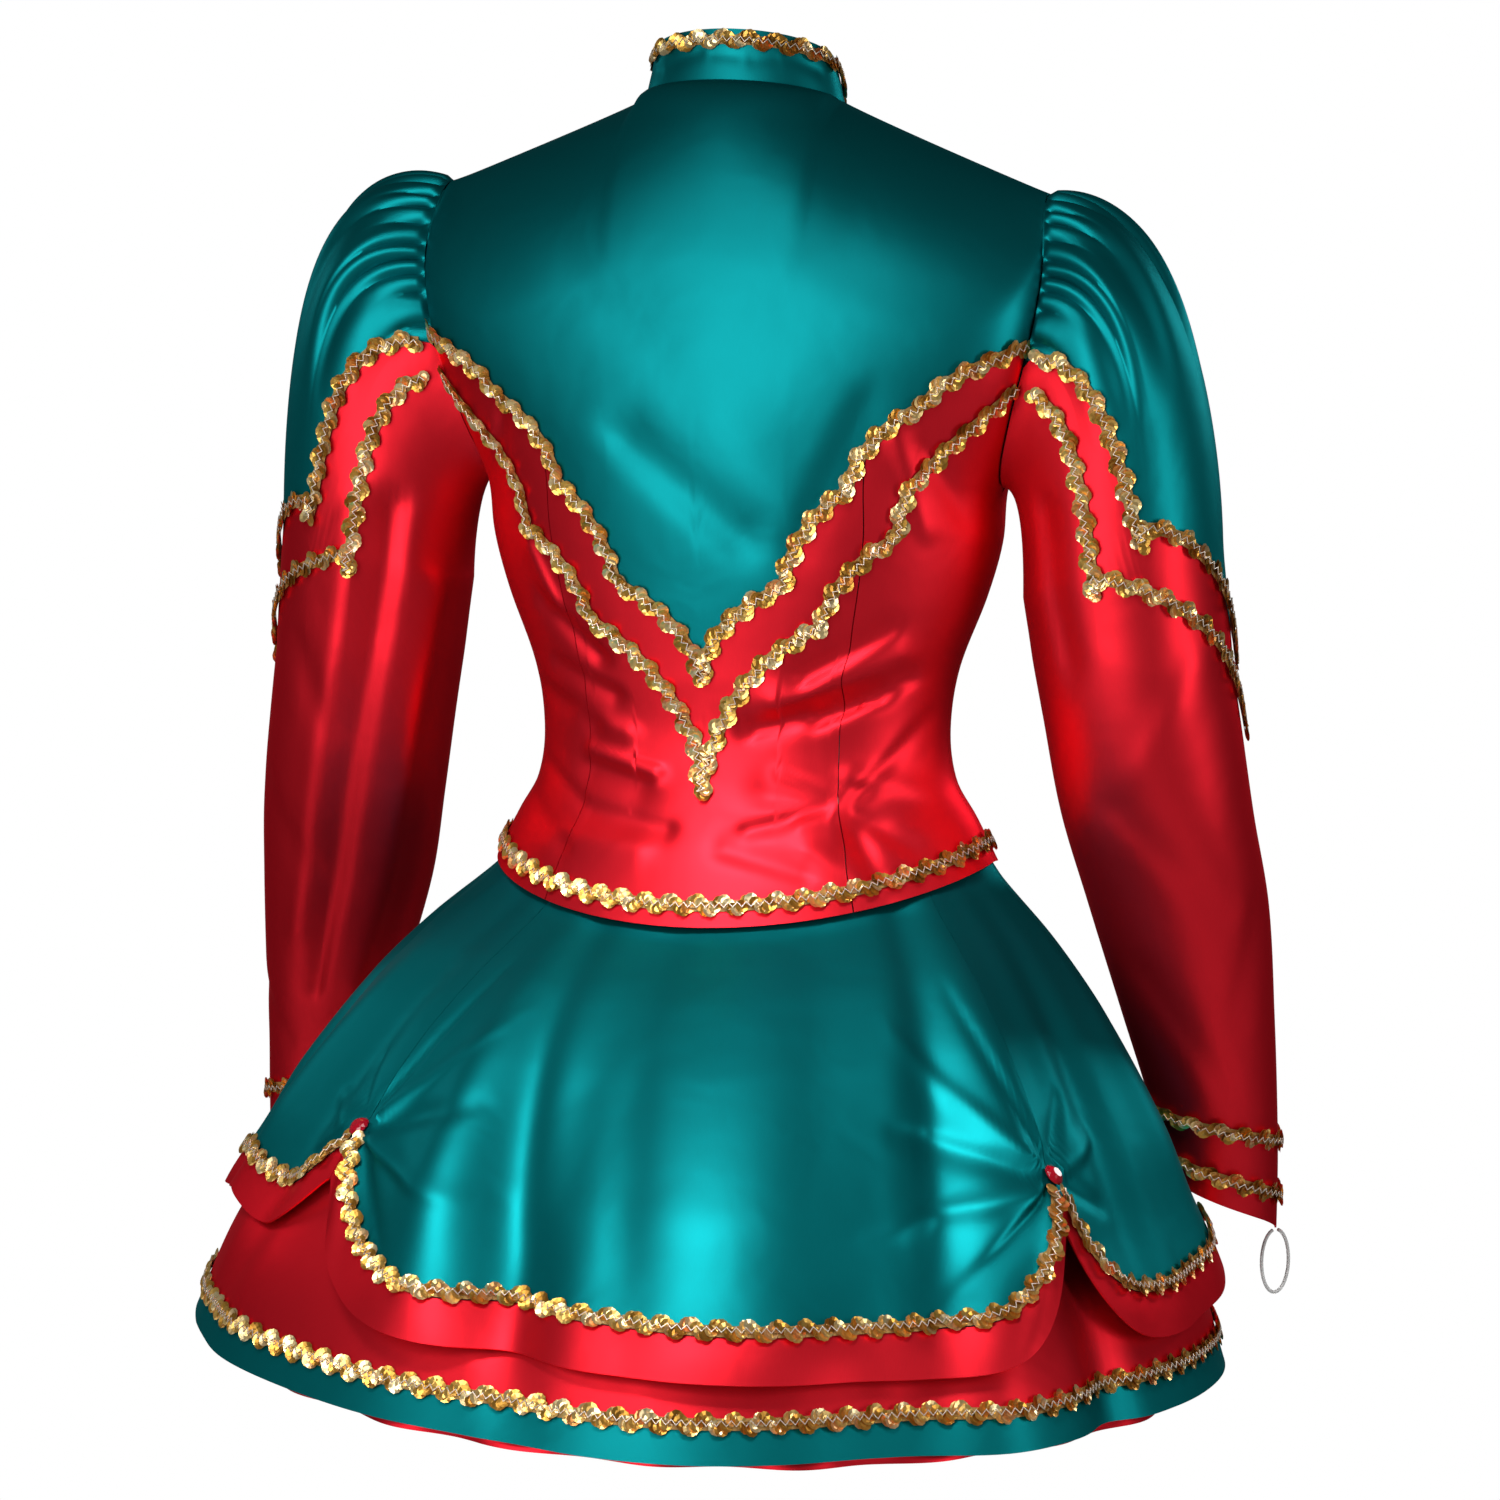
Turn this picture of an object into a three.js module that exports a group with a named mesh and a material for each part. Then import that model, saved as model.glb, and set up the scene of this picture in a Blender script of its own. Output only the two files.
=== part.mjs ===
// A majorette uniform: a fitted jacket with a stand collar and long puffed sleeves, over a festooned
// overskirt, an underskirt and a petticoat. Millimetres, +Z up. The origin is the middle of the neck
// seam. The wearer faces -Y, so the back of the garment is on the +Y side and the left arm on +X.

import * as THREE from "three";

// ---- Driving dimensions, in mm ----
const CLOTH = 1.2;
const SEAM = 0.3;
const BRAID = { width: 13, thick: 1.3, lift: 0.85, overRounds: 2 };
const HEM_TURNING = 5;
const NECK = { half: 61, back: 41, front: 74, zBack: 6, zSide: -4, zFront: -46 };
const COLLAR = { height: 26, lean: 0.1, seat: 0.7 };
const SHOULDER = { x: 185, z: -55, round: 110, tighter: 0.85, edge: 14 };
const ARMHOLE = { low: -228, back: 42, front: 38, gap: 1.0 };
const JACKET_HEM = { side: -452, back: -482, front: -470 };
const PRINCESS = 0.42;
const SLEEVE = { elbowRing: -300, cuff: { left: -672, right: -641 }, point: 36, pointAt: -15 };
const PUFF = { left: { reach: 78, lift: 0.27 }, right: { reach: 58, lift: 0.06 }, least: 14 };
const TUCK = { clear: 1.2, room: 2, creaseRoom: 5.5 };
const SKIRT = { waist: -399, hem: -722, dip: 9, half: 314, deep: 303, centre: 66, turn: -12.5 };
const BAND = { over: 22, under: 17 };
const OVERSKIRT_HEM = -690;
const FINGER_LOOP = { radius: 14, cord: 2.2, open: 12 };
const JEWEL = { radius: 6.5, girdle: 1.2, high: 4.5, sunk: 0.8, above: 4 };
const WAISTBAND = { behind: 0.9, low: 1.06, high: 1.38, thick: 4, slope: 0.0085 };
const CUFF_BRAIDS = { upper: 1.875, lower: 1.955 };
const SKIRT_BRAID_ABOVE = 2;
const COLLAR_BRAID = 11;
// The V's seam gap is measured upright and the sleeve's as a share of its length. Braid covers both.
const V_SEAM = 2.4 * SEAM;
const SLEEVE_SEAM = 0.0045;
const SHOULDER_SEAM = 0.005;
// How far each kind of scallop bows away from a straight step.
const BOW = { body: 0.65, sleeve: 0.45, sleeveEnd: -0.35 };
const GATHERS = { count: 24, deep: 2.4, reach: 0.55, around: 0.9 };
const HEAD = { forward: 0.35, fall: 18, hang: 120 };
// Where the V braids stop, towards the armholes and the front edges.
const BRAID_ENDS = { side: 0.955, front: 0.06, underarm: 0.07 };

// Widths and depths of the jacket's body. half: side seam or armhole from the middle.
const BODY_WIDTH = [
  { z: -452, half: 154 }, { z: -426, half: 141 }, { z: -405, half: 129 }, { z: -375, half: 125 },
  { z: -338, half: 130 }, { z: -293, half: 147 }, { z: -260, half: 156 }, { z: -228, half: 158 },
  { z: -190, half: 169 }, { z: -141, half: 183 }, { z: -100, half: 189 }, { z: -55, half: 185 },
];
const BODY_DEPTH = [
  { z: -485, back: 124, front: 114 }, { z: -450, back: 108, front: 103 }, { z: -420, back: 92, front: 91 },
  { z: -385, back: 80, front: 83 }, { z: -340, back: 86, front: 90 }, { z: -290, back: 95, front: 102 },
  { z: -235, back: 103, front: 112 }, { z: -180, back: 104, front: 108 }, { z: -130, back: 100, front: 96 },
  { z: -60, back: 88, front: 80 }, { z: 12, back: 72, front: 74 },
];

// Arm axis of each sleeve, with the half width and half depth of the tube.
const ARM = [
  { z: -710, left: 342, right: 267, y: -142, half: 30, deep: 31 },
  { z: -640, left: 330, right: 266, y: -126, half: 35, deep: 35 },
  { z: -600, left: 319, right: 264, y: -111, half: 39, deep: 39 },
  { z: -546, left: 303, right: 259, y: -88, half: 46, deep: 45 },
  { z: -480, left: 283, right: 252, y: -60, half: 54, deep: 51 },
  { z: -424, left: 268, right: 244, y: -35, half: 57, deep: 54 },
  { z: -360, left: 253, right: 237, y: -18, half: 58, deep: 56 },
  { z: -300, left: 240, right: 229, y: -8, half: 59, deep: 57 },
];
// How much the worn garment leans: rise for each mm to the left, by height.
const LEAN = [{ z: -760, rise: 0.055 }, { z: -560, rise: 0.025 }, { z: -450, rise: 0 }, { z: -300, rise: 0.015 },
  { z: -150, rise: 0.03 }, { z: 60, rise: 0.035 }];

// How far the skirt has spread (0 at the jacket's hem, 1 at its own) at each share of its drop.
const FLARE = [
  { t: 0, spread: 0 }, { t: 0.04, spread: 0.05 }, { t: 0.16, spread: 0.24 }, { t: 0.3, spread: 0.42 },
  { t: 0.52, spread: 0.65 }, { t: 0.67, spread: 0.77 }, { t: 0.81, spread: 0.89 }, { t: 1, spread: 1 },
];

// Scalloped V lines of the yoke and of the second braid. u: 0 at the middle, 1 at the armhole.
const YOKE_BACK = [{ u: 0, z: -344 }, { u: 0.221, z: -287 }, { u: 0.38, z: -229 }, { u: 0.56, z: -179 },
  { u: 1, z: -141.5 }];
const YOKE_FRONT = [{ u: 0, z: -350 }, { u: 0.221, z: -296 }, { u: 0.38, z: -242 }, { u: 0.56, z: -204 },
  { u: 1, z: -184.8 }];
const LOWER_BACK = [{ u: 0, z: -410 }, { u: 0.33, z: -309 }, { u: 0.51, z: -257 }, { u: 1, z: -163.9 }];
const LOWER_FRONT = [{ u: 0, z: -412 }, { u: 0.33, z: -318 }, { u: 0.51, z: -272 }, { u: 1, z: -202.7 }];

// The same lines round the sleeve. at: degrees from the outside towards the back. s: 0 at the armhole.
const CAP_LINE = [{ at: 97, s: 0.02 }, { at: 67, s: 0.82 }, { at: -15, s: 1.09 }, { at: -97, s: 0.82 },
  { at: -120, s: 0.02 }];
const SLEEVE_LINE = [{ at: 110, s: 0.03 }, { at: 93, s: 0.9 }, { at: -15, s: 1.21 }, { at: -108, s: 0.9 },
  { at: -135, s: 0.03 }];
// Columns of the sleeves, closer together where the lines are steep.
const SLEEVE_COLUMNS = [-180, -160, -140, -120, -112, -104, -97, -80, -60, -38, -15, 8, 30, 50, 67, 74, 82, 90,
  97, 110, 125, 142, 160];

// Large creases of the back: soft troughs along a line from one point to another.
const BACK_CREASES = [
  { x1: -128, z1: -376, x2: -92, z2: -428, depth: 4, wide: 12 },
  { x1: -40, z1: -408, x2: -72, z2: -412, depth: 3, wide: 11 },
  { x1: 42, z1: -406, x2: 72, z2: -398, depth: 3, wide: 11 },
  { x1: 40, z1: -205, x2: -25, z2: -258, depth: 2.5, wide: 14 },
];

// Upright folds of the skirts. psi: degrees from the skirt's middle back. out: how far they stand.
const OVERSKIRT_FOLDS = [
  { psi: 18, wide: 6, out: -11 }, { psi: -20, wide: 7, out: -10 }, { psi: 0, wide: 12, out: 5 },
  { psi: 34, wide: 7, out: 6 }, { psi: -36, wide: 7, out: 6 }, { psi: 72, wide: 9, out: -6 },
  { psi: -74, wide: 9, out: -6 }, { psi: 150, wide: 9, out: -8 }, { psi: -146, wide: 8, out: -8 },
  { psi: 180, wide: 13, out: 5 }, { psi: 108, wide: 10, out: 24 }, { psi: -112, wide: 10, out: 3 },
];
const UNDERSKIRT_FOLDS = [
  { psi: 0, wide: 10, out: 5 }, { psi: -22, wide: 8, out: -7 }, { psi: -37, wide: 8, out: 7 },
  { psi: -52, wide: 4, out: -9 }, { psi: 22, wide: 8, out: -4 }, { psi: 60, wide: 12, out: 5 },
  { psi: 95, wide: 9, out: -5 }, { psi: -95, wide: 10, out: -5 }, { psi: 140, wide: 9, out: 6 },
  { psi: 165, wide: 8, out: -6 }, { psi: -150, wide: 9, out: -3 }, { psi: -125, wide: 8, out: -6 },
];
const JEWEL_PLACES = [{ name: "back_left", psi: 52 }, { name: "back_right", psi: -47 },
  { name: "front_left", psi: 132 }, { name: "front_right", psi: -132 }];
const LIFTS = [
  { psi: 52, rise: 55, wide: 8 }, { psi: -47, rise: 64, wide: 5.5 }, { psi: 132, rise: 76, wide: 8 },
  { psi: -132, rise: 76, wide: 8 }, { psi: 80, rise: 38, wide: 26 }, { psi: -92, rise: 18, wide: 18 },
];

const COLOURS = {
  teal: { color: 0x079097, roughness: 0.38, metalness: 0 },
  red: { color: 0xd11526, roughness: 0.38, metalness: 0 },
  gold: { color: 0xc99a35, roughness: 0.3, metalness: 0.8 },
  white: { color: 0xf2f0ee, roughness: 0.8, metalness: 0 },
  jewel: { color: 0x9c0818, roughness: 0.08, metalness: 0 },
};

// ---- Small helpers ----
const RAD = Math.PI / 180;
const lerp = (a, b, t) => a + (b - a) * t;
const clamp = (v, low, high) => Math.min(high, Math.max(low, v));
const mix = (p, q, t) => p.clone().lerp(q, t);
const range = (count) => Array.from({ length: count }, (_, i) => i);
const turnedFrom = (a, b) => ((a - b + 540) % 360) - 180;

// A smooth value from a table whose rows rise in `key`.
function read(table, key, column, at) {
  const last = table.length - 1;
  const v = clamp(at, table[0][key], table[last][key]);
  let i = table.findIndex((row) => row[key] >= v);
  i = clamp(i, 1, last);
  const slope = (k) => {
    const a = table[Math.max(0, k - 1)];
    const b = table[Math.min(last, k + 1)];
    return (b[column] - a[column]) / (b[key] - a[key]);
  };
  const span = table[i][key] - table[i - 1][key];
  const t = (v - table[i - 1][key]) / span;
  const t2 = t * t;
  const t3 = t2 * t;
  return (2 * t3 - 3 * t2 + 1) * table[i - 1][column] + (t3 - 2 * t2 + t) * span * slope(i - 1)
    + (3 * t2 - 2 * t3) * table[i][column] + (t3 - t2) * span * slope(i);
}

// One scallop between two corners: it leaves the high corner gently and drops to the low one.
const scallop = (s, bow = BOW.body) => bow * (1 - Math.sqrt(Math.max(0, 1 - s * s))) + (1 - bow) * s;

// Height of a scalloped V line at u.
function vLine(corners, u) {
  const at = Math.min(Math.abs(u), 0.99999);
  const i = corners.findIndex((corner) => corner.u > at);
  const low = corners[i - 1];
  const high = corners[i];
  return lerp(high.z, low.z, scallop((high.u - at) / (high.u - low.u)));
}

// ---- The jacket's body ----
// face: 1 for the back, -1 for the front. u: -1 to 1 across. level: height at the side edge.
function neckAndShoulder(face, x) {
  const away = Math.abs(x);
  if (away < NECK.half) {
    const round = Math.sqrt(1 - (away / NECK.half) ** 2);
    const deep = face > 0 ? NECK.back : NECK.front;
    const middle = face > 0 ? NECK.zBack : NECK.zFront;
    return { y: deep * round, z: lerp(NECK.zSide, middle, round) };
  }
  const along = (away - NECK.half) / (SHOULDER.x - NECK.half);
  return { y: 0, z: lerp(NECK.zSide, SHOULDER.z, along ** 0.95) };
}

function jacketHem(face, u) {
  const middle = face > 0 ? JACKET_HEM.back : JACKET_HEM.front;
  return lerp(JACKET_HEM.side, middle, Math.max(0, Math.cos(u * 90 * RAD)) ** 1.5);
}

// The armhole is round at its own edge and fades to a soft swelling across the panels beside it.
function armholeDepth(face, level, u) {
  const middle = (SHOULDER.z + ARMHOLE.low) / 2;
  const away = (level - middle) / ((SHOULDER.z - ARMHOLE.low) / 2);
  const round = Math.sqrt(Math.max(0, 1 - away ** 2));
  const soft = 0.5 + 0.5 * Math.cos(Math.min(1, Math.abs(away) / 1.4) * 180 * RAD);
  return (face > 0 ? ARMHOLE.back : ARMHOLE.front) * lerp(soft, round, Math.abs(u) ** 12);
}

function creaseDepth(creases, x, z) {
  let total = 0;
  for (const { x1, z1, x2, z2, depth, wide } of creases) {
    const length2 = (x2 - x1) ** 2 + (z2 - z1) ** 2;
    const along = clamp(((x - x1) * (x2 - x1) + (z - z1) * (z2 - z1)) / length2, 0, 1);
    const away2 = (x - lerp(x1, x2, along)) ** 2 + (z - lerp(z1, z2, along)) ** 2;
    total += depth * Math.exp(-away2 / wide ** 2);
  }
  return total;
}

const levelShare = (level) => (level - SHOULDER.z) / (JACKET_HEM.side - SHOULDER.z);

function bodyPoint(face, u, level, creases = BACK_CREASES) {
  const across = Math.sin(u * 90 * RAD);
  const towards = Math.max(0, Math.cos(u * 90 * RAD));
  const top = neckAndShoulder(face, SHOULDER.x * across);
  const z = lerp(top.z, jacketHem(face, u), levelShare(level));
  const x = read(BODY_WIDTH, "z", "half", level) * across;
  const edge = armholeDepth(face, level, u);
  const full = lerp(edge, read(BODY_DEPTH, "z", face > 0 ? "back" : "front", z), towards);
  // The shoulder rounds over more tightly towards the armhole, so that its seam stays closed.
  const round = SHOULDER.round * (1 - SHOULDER.tighter * Math.abs(u) ** 4);
  const drop = clamp((top.z - z) / round, 0, 1);
  const rounding = lerp(Math.sqrt(drop * (2 - drop)), 1, Math.abs(u) ** SHOULDER.edge);
  const crease = face > 0 ? creaseDepth(creases, x, z) * towards : 0;
  return new THREE.Vector3(x, face * (lerp(top.y, full, rounding) - crease), z);
}

// The level whose point in column u lies at height z.
function levelAt(face, u, z) {
  const top = neckAndShoulder(face, SHOULDER.x * Math.sin(u * 90 * RAD)).z;
  return lerp(SHOULDER.z, JACKET_HEM.side, (z - top) / (jacketHem(face, u) - top));
}

const BACK = { at: (u, level) => bodyPoint(1, u, level), outward: -1 };
const FRONT = { at: (u, level) => bodyPoint(-1, u, level), outward: 1 };

// ---- The sleeves ----
// side: 1 for the left arm. at: degrees from the outside towards the back. s: 0 at the armhole, 1 where
// the head has become a tube, 2 at the cuff's edge.
function armholePoint(side, at) {
  const angle = turnedFrom(at, 0);
  const middle = (SHOULDER.z + ARMHOLE.low) / 2;
  const level = middle + (SHOULDER.z - middle) * Math.cos(angle * RAD);
  return bodyPoint(angle >= 0 ? 1 : -1, side, level);
}

function tubePoint(side, at, s) {
  const share = s - 1;
  const pointed = 1 - Math.abs(turnedFrom(at, SLEEVE.pointAt)) / 180;
  const arm = side > 0 ? "left" : "right";
  const z = lerp(SLEEVE.elbowRing, SLEEVE.cuff[arm], share) - SLEEVE.point * pointed * Math.max(0, share) ** 3;
  const centre = read(ARM, "z", arm, z);
  const half = read(ARM, "z", "half", z);
  const deep = read(ARM, "z", "deep", z);
  const y = read(ARM, "z", "y", z);
  return new THREE.Vector3(side * (centre + half * Math.cos(at * RAD)), y + deep * Math.sin(at * RAD), z);
}

function sleevePoint(side, at, s) {
  if (s >= 1) return tubePoint(side, at, s);
  const high = 0.5 + 0.5 * Math.cos(at * RAD);
  const puff = side > 0 ? PUFF.left : PUFF.right;
  const out = new THREE.Vector3(side, HEAD.forward * Math.sin(at * RAD), puff.lift * Math.cos(at * RAD));
  const start = armholePoint(side, at).addScaledVector(out, ARMHOLE.gap);
  const end = tubePoint(side, at, 1);
  const first = start.clone().addScaledVector(out, PUFF.least + puff.reach * high);
  const second = end.clone().add(new THREE.Vector3(0, 0, HEAD.fall + HEAD.hang * high));
  const curve = new THREE.CubicBezierCurve3(start, first, second, end);
  const drawnIn = Math.sin(Math.PI * clamp(s / GATHERS.reach, 0, 1));
  const gathered = GATHERS.deep * Math.cos(GATHERS.count * at * RAD) * drawnIn
    * Math.max(0, Math.cos(turnedFrom(at, 0) * GATHERS.around * RAD));
  const point = curve.getPoint(Math.max(0, s));
  const middle = mix(start, end, s);
  const lift = point.clone().sub(middle);
  return lift.length() > 1 ? point.addScaledVector(lift.normalize(), gathered) : point;
}

const SLEEVES = {
  left: { at: (a, s) => sleevePoint(1, a, s), outward: -1 },
  right: { at: (a, s) => sleevePoint(-1, a, s), outward: 1 },
};

// The share s of a scalloped line at an angle.
function roundLine(corners, at) {
  const a = clamp(at, corners[corners.length - 1].at, corners[0].at);
  const i = clamp(corners.findIndex((corner) => corner.at <= a), 1, corners.length - 1);
  const outwards = corners[i - 1].s < corners[i].s;
  const high = outwards ? corners[i - 1] : corners[i];
  const low = outwards ? corners[i] : corners[i - 1];
  const bow = high.s < 0.1 ? BOW.sleeveEnd : BOW.sleeve;
  return lerp(high.s, low.s, scallop((a - high.at) / (low.at - high.at), bow));
}

// The edge between the cap and the red sleeve, straight between the sleeve's columns.
function capEdge(at) {
  const i = clamp(SLEEVE_COLUMNS.findIndex((column) => column >= at), 1, SLEEVE_COLUMNS.length - 1);
  const [a, b] = [SLEEVE_COLUMNS[i - 1], SLEEVE_COLUMNS[i]];
  return lerp(roundLine(CAP_LINE, a), roundLine(CAP_LINE, b), (at - a) / (b - a));
}

// ---- The skirts ----
// theta: degrees from the middle back towards the left arm. t: 0 at the jacket's hem, 1 at the skirt's
// full drop, negative inside the jacket, down to -1 at the waist.
const TUCKED = SKIRT.waist - JACKET_HEM.side;
function insideJacket(theta, up, inset) {
  const angle = turnedFrom(theta, 0);
  const face = Math.abs(angle) <= 90 ? 1 : -1;
  const u = (face > 0 ? angle : Math.sign(angle) * (180 - Math.abs(angle))) / 90;
  const point = bodyPoint(face, u, JACKET_HEM.side + TUCKED * up, []);
  const outward = new THREE.Vector3(Math.sin(angle * RAD), Math.cos(angle * RAD), 0);
  const room = lerp(TUCK.room, TUCK.creaseRoom, Math.max(0, Math.cos(angle * RAD)) ** 0.5);
  return point.addScaledVector(outward, -inset - room);
}

const spread = (t) => read(FLARE, "t", "spread", t);
const foldOut = (folds, theta) => folds.reduce((sum, { psi, wide, out }) =>
  sum + out * Math.exp(-((turnedFrom(theta - SKIRT.turn, psi) / wide) ** 2)), 0);

function skirtPoint(layer, theta, t) {
  const inset = layer.inset + CLOTH + TUCK.clear;
  if (t < 0) return insideJacket(theta, -t, inset);
  const start = insideJacket(theta, 0, inset);
  const out = new THREE.Vector3(Math.sin(theta * RAD), Math.cos(theta * RAD), 0);
  const hem = new THREE.Vector3(SKIRT.half * out.x, SKIRT.centre + SKIRT.deep * out.y, SKIRT.hem);
  const share = spread(t);
  const point = mix(start, hem, share);
  point.z = lerp(start.z, skirtHem(theta), t);
  const fold = foldOut(layer.folds, theta) + (layer.waves ? layer.waves(theta, point.z) : 0);
  return point.addScaledVector(out, layer.clear * Math.min(1, share * 2.5) + fold * share);
}

const skirtHem = (theta) => SKIRT.hem - SKIRT.dip * Math.max(0, Math.cos(theta * RAD)) ** 2;
const FRILL = { above: 3, below: 5, out: 3.5, waves: 24, grow: 7 };
const OVER = { inset: 0, clear: 3, folds: OVERSKIRT_FOLDS };
const UNDER = { inset: 2.8, clear: -9, folds: UNDERSKIRT_FOLDS };
const PETTI = { inset: 5.4, clear: -20, folds: [] };
const RUFFLE = { ...PETTI, waves: (theta, z) => FRILL.out * Math.sin(FRILL.waves * theta * RAD)
  * clamp((skirtHem(theta) + FRILL.above - z) / FRILL.grow, 0, 1) };
const asSurface = (layer) => ({ at: (theta, t) => skirtPoint(layer, theta, t), outward: 1 });

// The share of the drop at which a column reaches height z.
function dropAt(theta, z) {
  const start = insideJacket(theta, 0, 0).z;
  return (z - start) / (skirtHem(theta) - start);
}

const overskirtHem = (theta) => LIFTS.reduce((z, { psi, rise, wide }) =>
  z + rise * Math.exp(-(Math.abs(turnedFrom(theta - SKIRT.turn, psi) / wide) ** 1.25)), OVERSKIRT_HEM);

// ---- The collar ----
function collarPoint(angle, up) {
  const across = Math.sin(angle * RAD);
  const towards = Math.cos(angle * RAD);
  const face = towards >= 0 ? 1 : -1;
  const foot = neckAndShoulder(face, NECK.half * across * 0.99999);
  const narrow = 0.988 - COLLAR.lean * up;
  const height = COLLAR.height + 3 * Math.abs(towards);
  return new THREE.Vector3(NECK.half * across * narrow, face * foot.y * narrow, foot.z + COLLAR.seat + height * up);
}
const COLLAR_SURFACE = { at: collarPoint, outward: -1 };

// ---- Making walls ----
const leanAt = (x, z) => x * read(LEAN, "z", "rise", z);
const leaned = (point) => point.setZ(point.z + leanAt(point.x, point.z));

function normalAt(surface, a, b, stepA, stepB) {
  const alongA = surface.at(a + stepA, b).sub(surface.at(a - stepA, b));
  const alongB = surface.at(a, b + stepB).sub(surface.at(a, b - stepB));
  return alongA.cross(alongB).normalize().multiplyScalar(surface.outward);
}

// A closed wall over a grid of places on a surface. lift: how far its outer side stands off the surface.
function wall(surface, grid, { thick = CLOTH, lift = 0, closed = false, stepA = 0.01, stepB = 0.01 } = {}) {
  const rows = grid.length;
  const columns = grid[0].length;
  const positions = [];
  const sides = [lift, lift - thick];
  for (const side of sides) {
    for (const row of grid) {
      for (const [a, b] of row) {
        const normal = normalAt(surface, a, b, stepA, stepB);
        positions.push(...surface.at(a, b).addScaledVector(normal, side).toArray());
      }
    }
  }
  const index = [];
  const outer = (i, j) => i * columns + (j % columns);
  const inner = (i, j) => rows * columns + outer(i, j);
  const quad = (p, q, r, s) => index.push(p, q, r, p, r, s);
  const steps = closed ? columns : columns - 1;
  for (let i = 0; i + 1 < rows; i += 1) {
    for (let j = 0; j < steps; j += 1) {
      quad(outer(i, j), outer(i, j + 1), outer(i + 1, j + 1), outer(i + 1, j));
      quad(inner(i, j), inner(i + 1, j), inner(i + 1, j + 1), inner(i, j + 1));
    }
    if (!closed) {
      quad(outer(i, 0), outer(i + 1, 0), inner(i + 1, 0), inner(i, 0));
      quad(outer(i + 1, steps), outer(i, steps), inner(i, steps), inner(i + 1, steps));
    }
  }
  for (let j = 0; j < steps; j += 1) {
    quad(outer(0, j + 1), outer(0, j), inner(0, j), inner(0, j + 1));
    quad(outer(rows - 1, j), outer(rows - 1, j + 1), inner(rows - 1, j + 1), inner(rows - 1, j));
  }
  return facingOut(positions, index);
}

// Turns the triangles round where they enclose a negative volume.
function facingOut(positions, index) {
  const corner = (k) => new THREE.Vector3().fromArray(positions, 3 * index[k]);
  let volume = 0;
  for (let k = 0; k < index.length; k += 3) {
    volume += corner(k).dot(corner(k + 1).cross(corner(k + 2)));
  }
  if (volume < 0) index.reverse();
  for (let k = 0; k < positions.length; k += 3) {
    positions[k + 2] += leanAt(positions[k], positions[k + 2]);
  }
  const geometry = new THREE.BufferGeometry();
  geometry.setAttribute("position", new THREE.Float32BufferAttribute(positions, 3));
  geometry.setIndex(index);
  geometry.computeVertexNormals();
  return geometry;
}

// A band of braid centred on a path of places, its edges found on the surface itself.
function braid(surface, path, options) {
  const { width = BRAID.width, lift = BRAID.lift, closed = false, stepA, stepB } = options;
  const last = path.length - 1;
  const around = (i) => (closed ? path[(i + path.length) % path.length] : path[clamp(i, 0, last)]);
  const points = path.map(([a, b]) => surface.at(a, b));
  const pointAround = (i) => (closed ? points[(i + path.length) % path.length] : points[clamp(i, 0, last)]);
  const edges = path.map((place, i) => {
    const [a, b] = around(i);
    const normal = normalAt(surface, a, b, stepA, stepB);
    const before = pointAround(i).clone().sub(pointAround(i - 1)).normalize();
    const after = pointAround(i + 1).clone().sub(pointAround(i)).normalize();
    const forward = before.clone().add(after).normalize();
    const mitre = clamp(1 / Math.max(0.3, forward.dot(after.lengthSq() > 0 ? after : before)), 1, 1.6);
    const across = normal.clone().cross(forward).normalize().multiplyScalar((mitre * width) / 2);
    const alongA = surface.at(a + stepA, b).sub(surface.at(a - stepA, b)).divideScalar(2 * stepA);
    const alongB = surface.at(a, b + stepB).sub(surface.at(a, b - stepB)).divideScalar(2 * stepB);
    const aa = alongA.dot(alongA);
    const ab = alongA.dot(alongB);
    const bb = alongB.dot(alongB);
    const det = aa * bb - ab * ab;
    const da = (across.dot(alongA) * bb - across.dot(alongB) * ab) / det;
    const db = (across.dot(alongB) * aa - across.dot(alongA) * ab) / det;
    return [[a - da, b - db], [a + da, b + db]];
  });
  const grid = [edges.map((edge) => edge[0]), edges.map((edge) => edge[1])];
  return wall(surface, grid, { thick: BRAID.thick, lift: lift + BRAID.thick, closed, stepA, stepB });
}

// ---- The part ----
const uniform = new THREE.Group();
function add(name, geometry, colour) {
  const mesh = new THREE.Mesh(geometry, new THREE.MeshStandardMaterial(COLOURS[colour]));
  mesh.name = name;
  uniform.add(mesh);
  return mesh;
}

// Columns shared by the yoke and the panels below it, from the middle to the armhole.
const NECK_COLUMNS = [0, 0.06, 0.115, 0.16, 0.195, Math.asin(NECK.half / SHOULDER.x) / (90 * RAD)];
const HALF_COLUMNS = [...NECK_COLUMNS, 0.275, 0.33, 0.38, PRINCESS, 0.465, 0.51, 0.56, 0.67, 0.78, 0.89, 1];
const mirrored = (list) => [...list.slice(1).reverse().map((u) => -u), ...list];
const GAP_U = 0.0036;
const fromMiddle = HALF_COLUMNS.map((u) => Math.max(u, GAP_U));

function panelRows(face, columns, topZ, bottomZ, count, ease) {
  return range(count + 1).map((i) => columns.map((u) => {
    const top = levelAt(face, u, topZ(u));
    return [u, lerp(top, levelAt(face, u, bottomZ(u)), (i / count) ** ease)];
  }));
}

// A panel stops short of the side seam, the shoulder seam and the V line by half a seam's gap.
const inFromEdge = (columns) => columns.map((u) => clamp(u, -1 + GAP_U * 0.6, 1 - GAP_U * 0.6));
const shoulderTop = (face) => (u) => neckAndShoulder(face, SHOULDER.x * Math.sin(u * 90 * RAD)).z;

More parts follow.
